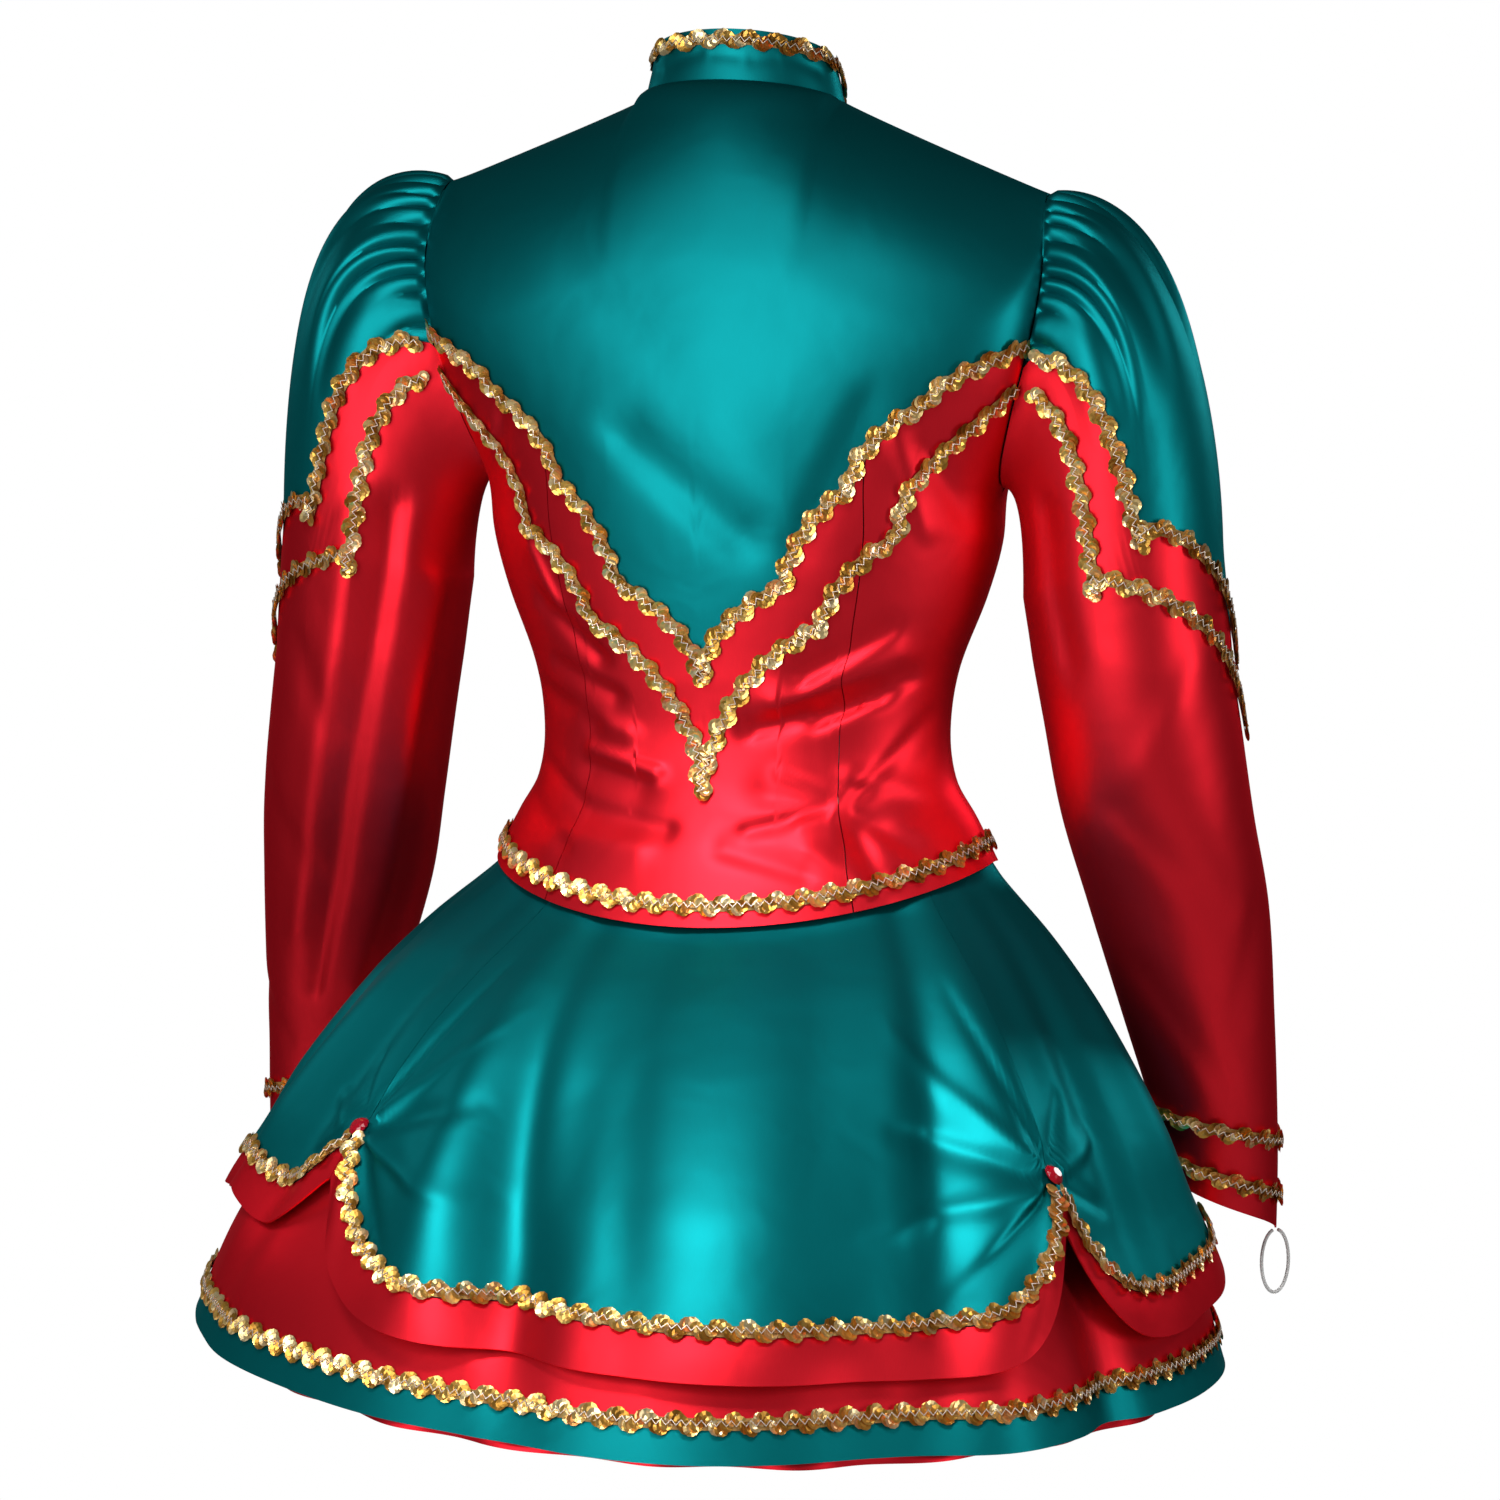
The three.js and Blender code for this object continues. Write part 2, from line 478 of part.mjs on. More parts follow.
function addJacketBody() {
  const faces = [
    { face: 1, surface: BACK, yoke: YOKE_BACK },
    { face: -1, surface: FRONT, yoke: YOKE_FRONT },
  ];
  const steps = { stepA: 0.002, stepB: 0.05 };
  for (const { face, surface, yoke } of faces) {
    const above = (u) => vLine(yoke, u) + V_SEAM;
    const below = (u) => vLine(yoke, u) - V_SEAM;
    const top = (u) => shoulderTop(face)(u) - SHOULDER_SEAM;
    const hem = (u) => jacketHem(face, u);
    if (face > 0) {
      const across = inFromEdge(mirrored(HALF_COLUMNS));
      add("back_yoke", wall(surface, panelRows(1, across, top, above, 6, 1.6), steps), "teal");
      const centre = mirrored(HALF_COLUMNS.filter((u) => u < PRINCESS));
      const columns = [-PRINCESS + GAP_U, ...centre, PRINCESS - GAP_U];
      add("back_centre", wall(surface, panelRows(1, columns, below, hem, 7, 1), steps), "red");
      for (const [name, side] of [["left", 1], ["right", -1]]) {
        const outside = [PRINCESS + GAP_U, ...HALF_COLUMNS.filter((u) => u > PRINCESS)];
        const placed = inFromEdge(outside.map((u) => side * u));
        add(`back_side_${name}`, wall(surface, panelRows(1, placed, below, hem, 8, 1), steps), "red");
      }
    } else {
      for (const [name, side] of [["left", 1], ["right", -1]]) {
        const placed = inFromEdge(fromMiddle.map((u) => side * u));
        add(`front_yoke_${name}`, wall(surface, panelRows(-1, placed, top, above, 5, 1.6), steps), "teal");
        add(`front_${name}`, wall(surface, panelRows(-1, placed, below, hem, 6, 1), steps), "red");
      }
    }
  }
}

function addJacketBraids() {
  const steps = { stepA: 0.002, stepB: 0.05, lift: BRAID.overRounds };
  const path = (face, columns, height) => columns.map((u) => [u, levelAt(face, u, height(u))]);
  const kept = HALF_COLUMNS.filter((u) => u < BRAID_ENDS.side);
  const whole = mirrored([...kept, BRAID_ENDS.side]);
  add("braid_back_upper", braid(BACK, path(1, whole, (u) => vLine(YOKE_BACK, u)), steps), "gold");
  add("braid_back_lower", braid(BACK, path(1, whole, (u) => vLine(LOWER_BACK, u)), steps), "gold");
  for (const [name, side] of [["left", 1], ["right", -1]]) {
    const half = [BRAID_ENDS.front, ...kept.slice(2), BRAID_ENDS.side].map((u) => side * u);
    add(`braid_front_upper_${name}`, braid(FRONT, path(-1, half, (u) => vLine(YOKE_FRONT, u)), steps), "gold");
    add(`braid_front_lower_${name}`, braid(FRONT, path(-1, half, (u) => vLine(LOWER_FRONT, u)), steps), "gold");
  }
  // The hem's braid runs from one front edge round the back to the other.
  const hemSurface = {
    at: (theta, up) => {
      const angle = turnedFrom(theta, 0);
      const face = Math.abs(angle) <= 90 ? 1 : -1;
      const u = (face > 0 ? angle : Math.sign(angle) * (180 - Math.abs(angle))) / 90;
      return bodyPoint(face, u, levelAt(face, u, jacketHem(face, u) + up));
    },
    outward: -1,
  };
  const count = 44;
  const frontEdge = 179.5;
  const hemPath = range(count + 1).map((i) =>
    [lerp(-frontEdge, frontEdge, i / count), HEM_TURNING + BRAID.width / 2]);
  add("braid_jacket_hem", braid(hemSurface, hemPath, { stepA: 0.3, stepB: 0.3 }), "gold");
}

function addCollar() {
  const around = (u) => Math.asin(Math.min(1, (SHOULDER.x * Math.sin(u * 90 * RAD)) / NECK.half)) / RAD;
  const quarter = NECK_COLUMNS.map(around);
  const half = [...quarter, ...quarter.slice(0, -1).reverse().map((angle) => Math.min(179, 180 - angle))];
  const columns = mirrored(half);
  const rows = [0, 0.5, 1].map((up) => columns.map((angle) => [angle, up]));
  add("collar", wall(COLLAR_SURFACE, rows, { stepA: 0.2, stepB: 0.02 }), "teal");
  const path = columns.map((angle) => [angle, 1 - BRAID.width / 2 / COLLAR.height]);
  add("braid_collar", braid(COLLAR_SURFACE, path, { stepA: 0.2, stepB: 0.02, width: COLLAR_BRAID }), "gold");
}

function addSleeves() {
  const steps = { stepA: 0.5, stepB: 0.004 };
  const [capBack, capFront] = [CAP_LINE[0].at, CAP_LINE[CAP_LINE.length - 1].at];
  const underCap = SLEEVE_COLUMNS.filter((at) => at >= capFront && at <= capBack);
  // Half columns between them turn each gather of the head into a ridge and a valley.
  const capColumns = underCap.flatMap((at, i) => (i ? [(underCap[i - 1] + at) / 2, at] : [at]));
  const lowerLine = [109, 106, 102, 98, 95, 93, 80, 65, 48, 30, 8, -15, -38, -60, -80, -97, -108, -112, -118,
    -124, -130];
  for (const [name, surface] of Object.entries(SLEEVES)) {
    const cap = [0, 0.12, 0.3, 0.55, 1].map((share) => capColumns.map((at) =>
      [at, lerp(0, capEdge(at) - SLEEVE_SEAM, share)]));
    add(`sleeve_cap_${name}`, wall(surface, cap, steps), "teal");
    const start = (at) => (at >= capFront && at <= capBack ? capEdge(at) + SLEEVE_SEAM : 0);
    const rows = [0, 0.2, 0.4, 0.6, 0.8].map((share) => (at) => lerp(start(at), 1.2, share));
    const lower = [1.2, 1.45, 1.7, 1.856, 1.974, 2].map((s) => () => s);
    const tube = [...rows, ...lower].map((row) => SLEEVE_COLUMNS.map((at) => [at, row(at)]));
    add(`sleeve_${name}`, wall(surface, tube, { ...steps, closed: true }), "red");
    const upperPath = underCap.map((at) => [at, Math.max(BRAID_ENDS.underarm, capEdge(at))]);
    const lowerPath = lowerLine.map((at) => [at, roundLine(SLEEVE_LINE, at)]);
    const raised = { ...steps, lift: BRAID.overRounds };
    add(`braid_sleeve_upper_${name}`, braid(surface, upperPath, raised), "gold");
    add(`braid_sleeve_lower_${name}`, braid(surface, lowerPath, raised), "gold");
    const ring = (s) => SLEEVE_COLUMNS.map((at) => [at, s]);
    add(`braid_cuff_upper_${name}`, braid(surface, ring(CUFF_BRAIDS.upper), { ...raised, closed: true }), "gold");
    add(`braid_cuff_lower_${name}`, braid(surface, ring(CUFF_BRAIDS.lower), { ...raised, closed: true }), "gold");
  }
}

// An elastic loop for the middle finger, hanging from the point of each cuff.
const loopRoute = (side) => {
  const tip = tubePoint(side, SLEEVE.pointAt, 2);
  const { radius, cord, open } = FINGER_LOOP;
  return range(11).map((i) => {
    const angle = lerp(open, 360 - open, i / 10) * RAD;
    const down = radius * 1.35 * (Math.cos(angle) - Math.cos(open * RAD));
    const along = radius * 0.8 * Math.sin(angle);
    const turned = new THREE.Vector3(-side * 0.6, 0.8, 0).multiplyScalar(along);
    return leaned(new THREE.Vector3(tip.x - side * CLOTH / 2, tip.y, tip.z + down - cord / 2 - SEAM).add(turned));
  });
};

function addFingerLoops() {
  const { cord } = FINGER_LOOP;
  const section = new THREE.Shape();
  section.absarc(0, 0, cord / 2, 0, 2 * Math.PI);
  for (const [name, side] of [["left", 1], ["right", -1]]) {
    const route = new THREE.CatmullRomCurve3(loopRoute(side));
    const options = { steps: 12, curveSegments: 3, bevelEnabled: false, extrudePath: route };
    add(`finger_loop_${name}`, new THREE.ExtrudeGeometry(section, options), "white");
  }
}

// Rows of a skirt layer: tucked into the jacket, then down to the given height.
function skirtRows(layer, columns, count, bottom) {
  // The waistband's lower side slopes inwards, so the inner layers start a little lower.
  const top = -1 + WAISTBAND.slope * (layer.inset + TUCK.clear);
  const rounded = 0.38;
  const shared = [top, 0, 0.08, 0.2, rounded].map((t) => columns.map((theta) => [theta, t]));
  const hanging = range(count).map((i) => columns.map((theta) =>
    [theta, lerp(rounded, dropAt(theta, bottom(theta)), (i + 1) / count)]));
  return [...shared, ...hanging];
}

const OVER_PANELS = [
  { name: "back", from: -47, to: 52, steps: 20 }, { name: "left", from: 52, to: 132, steps: 13 },
  { name: "front", from: 132, to: 228, steps: 14 }, { name: "right", from: 228, to: 313, steps: 14 },
];

function addOverskirt() {
  const surface = asSurface(OVER);
  const steps = { stepA: 0.2, stepB: 0.002 };
  const halfGap = 0.045;
  for (const { name, from, to, steps: count } of OVER_PANELS) {
    const columns = range(count + 1).map((i) => SKIRT.turn + lerp(from + halfGap, to - halfGap, i / count));
    const panelEnd = (theta) => overskirtHem(theta) + BAND.over;
    add(`overskirt_${name}`, wall(surface, skirtRows(OVER, columns, 2, panelEnd), steps), "teal");
    const band = [-SEAM, -BAND.over].map((down) => columns.map((theta) =>
      [theta, dropAt(theta, panelEnd(theta) + down)]));
    add(`overskirt_band_${name}`, wall(surface, band, steps), "red");
    const inner = columns.slice(1, -1);
    const path = inner.map((theta) => [theta, dropAt(theta, panelEnd(theta) + SKIRT_BRAID_ABOVE)]);
    add(`overskirt_braid_${name}`, braid(surface, path, steps), "gold");
  }
  for (const { name, psi } of JEWEL_PLACES) {
    const theta = SKIRT.turn + psi;
    const t = dropAt(theta, overskirtHem(theta) + BAND.over + JEWEL.above);
    const normal = normalAt(surface, theta, t, steps.stepA, steps.stepB);
    const profile = [[0, 0], [JEWEL.radius, 0], [JEWEL.radius, JEWEL.girdle], [JEWEL.radius * 0.55, JEWEL.high],
      [0, JEWEL.high]].map(([r, y]) => new THREE.Vector2(r, y));
    const jewel = add(`jewel_${name}`, new THREE.LatheGeometry(profile, 8), "jewel");
    jewel.position.copy(leaned(surface.at(theta, t).addScaledVector(normal, JEWEL.sunk)));
    jewel.quaternion.setFromUnitVectors(new THREE.Vector3(0, 1, 0), normal);
  }
}

function addUnderskirts() {
  const steps = { stepA: 0.2, stepB: 0.002, closed: true };
  const count = 44;
  const columns = range(count).map((i) => (i * 360) / count);
  const under = asSurface(UNDER);
  const underEnd = (theta) => skirtHem(theta) + BAND.under;
  const strip = (places, heights) => heights.map((up) => places.map((theta) =>
    [theta, dropAt(theta, skirtHem(theta) + up)]));
  add("underskirt", wall(under, skirtRows(UNDER, columns, 2, underEnd), steps), "red");
  add("underskirt_band", wall(under, strip(columns, [BAND.under - SEAM, 0]), steps), "teal");
  const path = columns.map((theta) => [theta, dropAt(theta, underEnd(theta) + SKIRT_BRAID_ABOVE)]);
  add("underskirt_braid", braid(under, path, steps), "gold");
  const pettiEnd = (theta) => skirtHem(theta) + FRILL.above;
  add("petticoat", wall(asSurface(PETTI), skirtRows(PETTI, columns, 2, pettiEnd), steps), "white");
  const fine = range(3 * FRILL.waves).map((i) => (i * 120) / FRILL.waves);
  const frill = strip(fine, [FRILL.above - 2 * SEAM, -FRILL.below]);
  add("petticoat_binding", wall(asSurface(RUFFLE), frill, { ...steps, stepB: 0.001 }), "red");
}

function addWaistband() {
  const inset = CLOTH + WAISTBAND.behind - TUCK.room;
  const surface = { at: (theta, up) => insideJacket(theta, up, inset), outward: -1 };
  const quarter = HALF_COLUMNS.filter((u) => u < 1).map((u) => 90 * u);
  const half = [...quarter, 90, ...quarter.slice(1).reverse().map((angle) => 180 - angle), 180];
  const columns = [...half.slice(1, -1).reverse().map((angle) => -angle), ...half];
  const rows = [WAISTBAND.low, WAISTBAND.high].map((up) => columns.map((theta) => [theta, up]));
  const { thick } = WAISTBAND;
  add("waistband", wall(surface, rows, { thick, closed: true, stepA: 0.2, stepB: 0.01 }), "teal");
}

addJacketBody();
addJacketBraids();
addCollar();
addSleeves();
addFingerLoops();
addOverskirt();
addUnderskirts();
addWaistband();

export default uniform;
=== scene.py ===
import math

import bpy
import numpy as np
from bpy.props import FloatProperty, FloatVectorProperty, IntProperty, PointerProperty
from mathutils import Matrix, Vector


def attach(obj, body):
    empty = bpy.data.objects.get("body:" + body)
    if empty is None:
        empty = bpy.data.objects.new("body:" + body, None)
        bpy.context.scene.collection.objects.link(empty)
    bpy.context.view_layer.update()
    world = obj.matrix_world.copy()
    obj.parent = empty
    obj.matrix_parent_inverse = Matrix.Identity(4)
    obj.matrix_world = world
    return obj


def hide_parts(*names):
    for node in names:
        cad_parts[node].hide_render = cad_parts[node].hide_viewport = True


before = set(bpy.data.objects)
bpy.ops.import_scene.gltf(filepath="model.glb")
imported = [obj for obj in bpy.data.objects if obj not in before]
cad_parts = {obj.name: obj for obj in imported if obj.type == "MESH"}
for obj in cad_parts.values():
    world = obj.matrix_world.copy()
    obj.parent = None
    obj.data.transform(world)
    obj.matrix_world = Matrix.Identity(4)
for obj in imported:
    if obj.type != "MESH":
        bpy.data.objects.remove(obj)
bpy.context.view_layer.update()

bl_info = {
    "name": "Majorette Uniform",
    "version": (1, 0, 0),
    "blender": (4, 5, 0),
    "location": "View3D > Sidebar > Uniform",
    "description": "Makes the satin, sequin braid, jewels and folds of a majorette uniform",
    "category": "Add Mesh",
}

MM = 0.001

# ---- Pattern of the garment, in mm, as the solids have it ----
CLOTH = 1.2
SEAM = 0.3
HEM_TURNING = 5
BRAID_WIDE = 13
NECK = {"half": 61, "back": 41, "front": 74, "z_back": 6, "z_side": -4, "z_front": -46}
# How far beside the middle the neck's round edge shows, and the share of the drop that it melts over.
NECK_MELT = {"half": 95, "drop": 0.22}
COLLAR = {"height": 26, "lean": 0.1, "seat": 0.7, "narrow": 0.988, "rise": 3}
SHOULDER = {"x": 185, "z": -55, "round": 110, "tighter": 0.85, "edge": 14, "seam": 0.005}
ARMHOLE = {"low": -228, "back": 42, "front": 38, "gap": 1.0}
JACKET_HEM = {"side": -452, "back": -482, "front": -470}
PRINCESS = 0.42
SLEEVE = {"ring": -300, "left": -672, "right": -641, "point": 36, "point_at": -15}
# Each side's reach out and lift, the least reach, the lean to front and back, and the end on the tube.
PUFF = {"left": (78, 0.27), "right": (58, 0.06), "least": 14, "lean": 0.35, "low": 18, "high": 120}
TUCK = {"clear": 1.2, "room": 2, "crease_room": 5.5}
SKIRT = {"waist": -399, "hem": -722, "dip": 9, "half": 314, "deep": 303, "centre": 66, "turn": -12.5}
BAND = {"over": 22, "under": 17}
OVERSKIRT_HEM = -690
# The share of the skirts' tucked top that is made, and how the rows crowd towards the hem.
SKIRT_ROWS = {"top": -0.97, "ease": 1.1}
RUFFLE = {"waves": 24, "above": 3, "over": 7}
FINGER_LOOP = {"radius": 14, "cord": 2.2, "open": 12, "tall": 1.35, "wide": 0.8, "points": 29, "sides": 10}
WAISTBAND = {"behind": 0.9, "low": 1.06, "high": 1.38, "thick": 0.003}
# Room at a panel's side seam, as a share of half the width.
PANEL_GAP = 0.0016
# In metres: between sequins, beside the middle to the thread's turns, and down at the ground's edges.
BRAID_STEP, BRAID_ZIG, BRAID_DROOP = 0.0026, 0.0016, 0.0004
# In mm: the sequins and the thread above the ground, and the ground's edge inside the braid's.
SEQUINS_UP, THREAD_UP, GROUND_INSET = 0.9, 1.7, 3.2
# How far out each of three sequins in turn sits, as a share of half the width.
SEQUIN_SWING = [0.3, 1.25, 0.95]
GROUND_RAILS = 4

BODY_WIDTH = [
    (-452, 154), (-426, 141), (-405, 129), (-375, 125), (-338, 130), (-293, 147), (-260, 156), (-228, 158),
    (-190, 169), (-141, 183), (-100, 189), (-55, 185),
]
BODY_DEPTH = [
    (-485, 124, 114), (-450, 108, 103), (-420, 92, 91), (-385, 80, 83), (-340, 86, 90), (-290, 95, 102),
    (-235, 103, 112), (-180, 104, 108), (-130, 100, 96), (-60, 88, 80), (12, 72, 74),
]
# Arm axis: height, middle of the left and right sleeve, y, half width, half depth.
ARM = [
    (-710, 342, 267, -142, 30, 31), (-640, 330, 266, -126, 35, 35), (-600, 319, 264, -111, 39, 39),
    (-546, 303, 259, -88, 46, 45), (-480, 283, 252, -60, 54, 51), (-424, 268, 244, -35, 57, 54),
    (-360, 253, 237, -18, 58, 56), (-300, 240, 229, -8, 59, 57),
]
LEAN = [(-760, 0.055), (-560, 0.025), (-450, 0), (-300, 0.015), (-150, 0.03), (60, 0.035)]
FLARE = [(0, 0), (0.04, 0.05), (0.16, 0.24), (0.3, 0.42), (0.52, 0.65), (0.67, 0.77), (0.81, 0.89), (1, 1)]

YOKE_BACK = [(0, -344), (0.221, -287), (0.38, -229), (0.56, -179), (1, -141.5)]
YOKE_FRONT = [(0, -350), (0.221, -296), (0.38, -242), (0.56, -204), (1, -184.8)]
LOWER_BACK = [(0, -410), (0.33, -309), (0.51, -257), (1, -163.9)]
LOWER_FRONT = [(0, -412), (0.33, -318), (0.51, -272), (1, -202.7)]
CAP_LINE = [(97, 0.02), (67, 0.82), (-15, 1.09), (-97, 0.82), (-120, 0.02)]
# Along the arm, 0 is the armhole, 1 the ring where the head ends and 2 the cuff.
SLEEVE_SEAM, SLEEVE_BREAK, SLEEVE_END = 0.003, 1.2, 2
SLEEVE_LINE = [(110, 0.03), (93, 0.9), (-15, 1.21), (-108, 0.9), (-135, 0.03)]
# Braids round a sleeve: the seam that each lies on, its first and last angle, and on the cuff its place.
SLEEVE_BRAIDS = [("upper", CAP_LINE, -118, 96), ("lower", SLEEVE_LINE, -133, 109)]
CUFF_BRAIDS = [("upper", 1.875), ("lower", 1.955)]

OVERSKIRT_FOLDS = [
    (18, 6, -11), (-20, 7, -10), (0, 12, 5), (34, 7, 6), (-36, 7, 6), (72, 9, -6), (-74, 9, -6), (150, 9, -8),
    (-146, 8, -8), (180, 13, 5), (108, 10, 24), (-112, 10, 3),
]
# Deep folds that hang from the waist: angle at the waist, angle at the hem, half width, out in mm.
HANGING_FOLDS = [
    (34, 15.5, 4.5, -15), (40, 25, 6, 11), (-3, -8, 12, 8), (14, 3, 4, -4), (-37, -28, 4.5, -15),
    (-46, -43, 5, 11), (-22, -17, 5, 4), (62, 66, 5, -9), (76, 80, 6, 8), (98, 96, 5, -9), (116, 121, 7, 8),
    (140, 146, 5, -9), (158, 163, 6, 8), (179, 181, 5, -8), (-64, -60, 5, -9), (-80, -80, 6, 7),
    (-98, -99, 5, -9), (-116, -118, 6, 7), (-136, -140, 5, -9), (-158, -160, 6, 7),
]
# Where on the way down those folds are deepest, and how far they reach up and down from there.
DEEPEST = {"at": 0.5, "reach": 0.36}
UNDERSKIRT_FOLDS = [
    (0, 10, 5), (-22, 8, -7), (-37, 8, 7), (-52, 4, -9), (22, 8, -4), (60, 12, 5), (95, 9, -5), (-95, 10, -5),
    (140, 9, 6), (165, 8, -6), (-150, 9, -3), (-125, 8, -6),
]
# Folds that radiate from a jewel: angle from the panel's side, reach, depth inwards, half width in mm.
JEWEL_FAN = [
    (72, 90, 4, 5), (40, 110, -4, 5.8), (14, 95, 5.5, 6.6), (-12, 120, -5, 5), (-38, 110, 5.5, 5.8),
    (-62, 90, -4, 6.6), (140, 50, 3.5, 5), (170, 60, -3.5, 5), (205, 50, 3, 5),
]
# In mm: where the fan starts and fades, a degree round the skirt there, and the jewel above the hem band.
JEWEL = {"start": 8, "fade": 85, "degree": 4.6, "above": 4, "sides": 12}
# The cut glass from the back to the table: radius, height in mm.
JEWEL_RINGS = [(5.6, 0.9), (6.5, 1.6), (6.3, 2.4), (4.9, 3.9), (3.0, 5.1)]
JEWELS = [("back_left", 52), ("back_right", -47), ("front_left", 132), ("front_right", -132)]
LIFTS = [(52, 55, 8), (-47, 64, 5.5), (132, 76, 8), (-132, 76, 8), (80, 38, 26), (-92, 18, 18)]
PANELS = [("back", -47, 52), ("left", 52, 132), ("front", 132, 228), ("right", 228, 313)]

# ---- Creases: from (x, z) to (x, z), depth inwards, half width ----
BACK_CREASES = [
    (-128, -376, -92, -428, 5, 12), (-40, -408, -72, -412, 3.8, 11), (42, -406, 72, -398, 3.8, 11),
    (40, -205, -25, -258, 3.5, 14),
    (-122, -362, -84, -414, 4.5, 5), (-84, -414, -60, -424, -3.2, 5), (-86, -420, -118, -440, 3.8, 5),
    (-84, -426, -104, -456, 3.5, 5), (-70, -418, -30, -428, 3.2, 5), (-78, -408, -46, -396, -3, 5),
    (30, -396, 74, -386, -4.6, 5), (20, -428, 70, -420, 3.2, 6), (80, -416, 112, -396, 3.2, 5),
    (66, -330, 104, -300, 4.6, 6), (58, -352, 98, -336, 3.8, 6), (-60, -340, -104, -312, 5.3, 7),
    (-66, -366, -112, -342, 4.9, 6), (88, -440, 120, -420, 3.2, 6), (-20, -196, -70, -250, -1.2, 20),
    (-130, -206, -146, -246, 4.2, 7), (-116, -200, -128, -250, -3.4, 7), (128, -196, 144, -240, 3.9, 7),
    (70, -110, 20, -150, 1.4, 24), (-80, -100, -30, -150, 1.2, 26), (-100, -180, -60, -262, 1.8, 12),
    (96, -300, 112, -270, -3.8, 6), (-30, -372, -96, -352, 5.7, 8), (-44, -356, -110, -328, -4.6, 8),
    (-84, -398, -128, -410, -3.2, 6), (-66, -440, -110, -464, -2.8, 7), (-20, -440, -64, -452, 2.8, 7),
    (36, -440, 96, -436, -2.5, 8), (74, -370, 112, -352, 4.6, 7), (50, -374, 84, -366, -3.4, 7),
]
FRONT_CREASES = [
    (-110, -376, -70, -420, 2.4, 9), (110, -380, 66, -424, 2.4, 9), (30, -400, 70, -408, 1.6, 8),
    (-30, -404, -72, -400, 1.6, 8), (96, -226, 62, -262, 1.8, 10), (-98, -224, -60, -264, 1.8, 10),
]
# On the collar: from (angle, height above the neck seam) to (angle, height), depth, half width in mm.
COLLAR_CREASES = [
    (-62, 11, -40, 14, 0.9, 3.5), (-30, 13, -16, 11, 1.0, 3.5), (-6, 12, 8, 13, 0.9, 3),
    (18, 14, 40, 10, 1.1, 3.5), (50, 8, 70, 12, 0.9, 3.5), (100, 12, 125, 9, 0.8, 4),
    (150, 10, 172, 13, 0.9, 4), (-100, 9, -130, 12, 0.8, 4), (-150, 13, -168, 9, 0.9, 4),
]
# On a sleeve: from (angle, height) to (angle, height), depth, half width in mm.
LEFT_SLEEVE_CREASES = [
    (120, -250, 96, -560, 5, 9), (96, -250, 78, -520, -2.5, 8), (150, -300, 130, -560, -3, 10),
    (60, -330, 92, -380, 1.6, 9), (40, -420, 84, -470, 1.4, 10), (20, -560, 70, -600, 1.2, 9),
    (-60, -340, -100, -400, 2, 10), (-80, -450, -120, -520, 2, 10),
]
RIGHT_SLEEVE_CREASES = [
    (128, -240, 118, -330, 3, 9), (100, -420, 60, -470, 1.8, 12), (110, -520, 70, -580, 1.5, 12),
    (40, -330, 80, -390, -1.6, 12), (-60, -350, -100, -410, 2, 10), (-80, -470, -120, -540, 2, 10),
    (20, -480, 50, -540, 1.4, 12),
]

# ---- Camera and stage, in metres and degrees ----
VIEW_CENTRE = (0, 0, -0.390)
CAMERA = {
    "azimuth": 197.5, "elevation": 5, "distance": 2.6, "lens": 104, "sensor": 36, "shift": 4 / 1500,
    "far": 50,
}
FLOOR = {"half": 1.2, "height": -1.35}
WORLD_STRENGTH = 0.07
# Name, place and aim beside, above and in front of the middle, width and height, watts, beam.
LIGHTS = [
    ("key", (-1.1, 0.15, 2.2), (0, 0.05), (1.2, 2.0), 35, 180),
    ("skirt", (-0.3, 0.8, 0.85), (0.0, -0.34), (0.8, 0.35), 1.1, 38),
    ("right", (2.0, 0.0, 1.4), (0, -0.1), (0.45, 1.3), 14, 180),
    ("fill", (-1.9, -0.2, 1.5), (0, 0), (0.5, 1.6), 4, 180),
    ("rim_right", (1.7, 0.8, -1.2), (0, 0), (0.6, 0.6), 6, 180),
    ("rim_left", (-1.7, 0.9, -1.3), (0, 0), (0.6, 0.6), 2, 180),
]


class UniformSettings(bpy.types.PropertyGroup):
    """Sizes and colours that a user would change."""

    cloth: FloatProperty(
        name="Cloth", description="Thickness of the satin with its lining", default=0.0011, min=0.0004,
        max=0.003, unit="LENGTH",
    )
    sequin: FloatProperty(
        name="Sequin", description="Radius of one sequin", default=0.0041, min=0.001, max=0.006, unit="LENGTH"
    )
    cup: FloatProperty(
        name="Cup", description="How deep one sequin is cupped", default=0.0007, min=0.0, max=0.003,
        unit="LENGTH",
    )
    shingle: FloatProperty(
        name="Shingle", description="Tilt of each sequin over the next one", default=math.radians(14),
        subtype="ANGLE",
    )
    thread: FloatProperty(
        name="Thread", description="Radius of the zigzag thread", default=0.00045, min=0.0001, max=0.002,
        unit="LENGTH",
    )
    seed: IntProperty(name="Seed", description="Scatter of the sequins", default=7, min=0)
    teal: FloatVectorProperty(
        name="Teal", description="Teal satin", default=(0.003, 0.24, 0.26), subtype="COLOR", min=0, max=1
    )
    red: FloatVectorProperty(
        name="Red", description="Red satin", default=(0.92, 0.02, 0.036), subtype="COLOR", min=0, max=1
    )
    gold: FloatVectorProperty(
        name="Gold", description="Sequins", default=(0.9, 0.58, 0.16), subtype="COLOR", min=0, max=1
    )
    white: FloatVectorProperty(
        name="White", description="Petticoat cloth", default=(0.86, 0.85, 0.84), subtype="COLOR", min=0, max=1
    )


# ---- Curves and tables ----
def lerp(a, b, t):
    return a + (b - a) * t


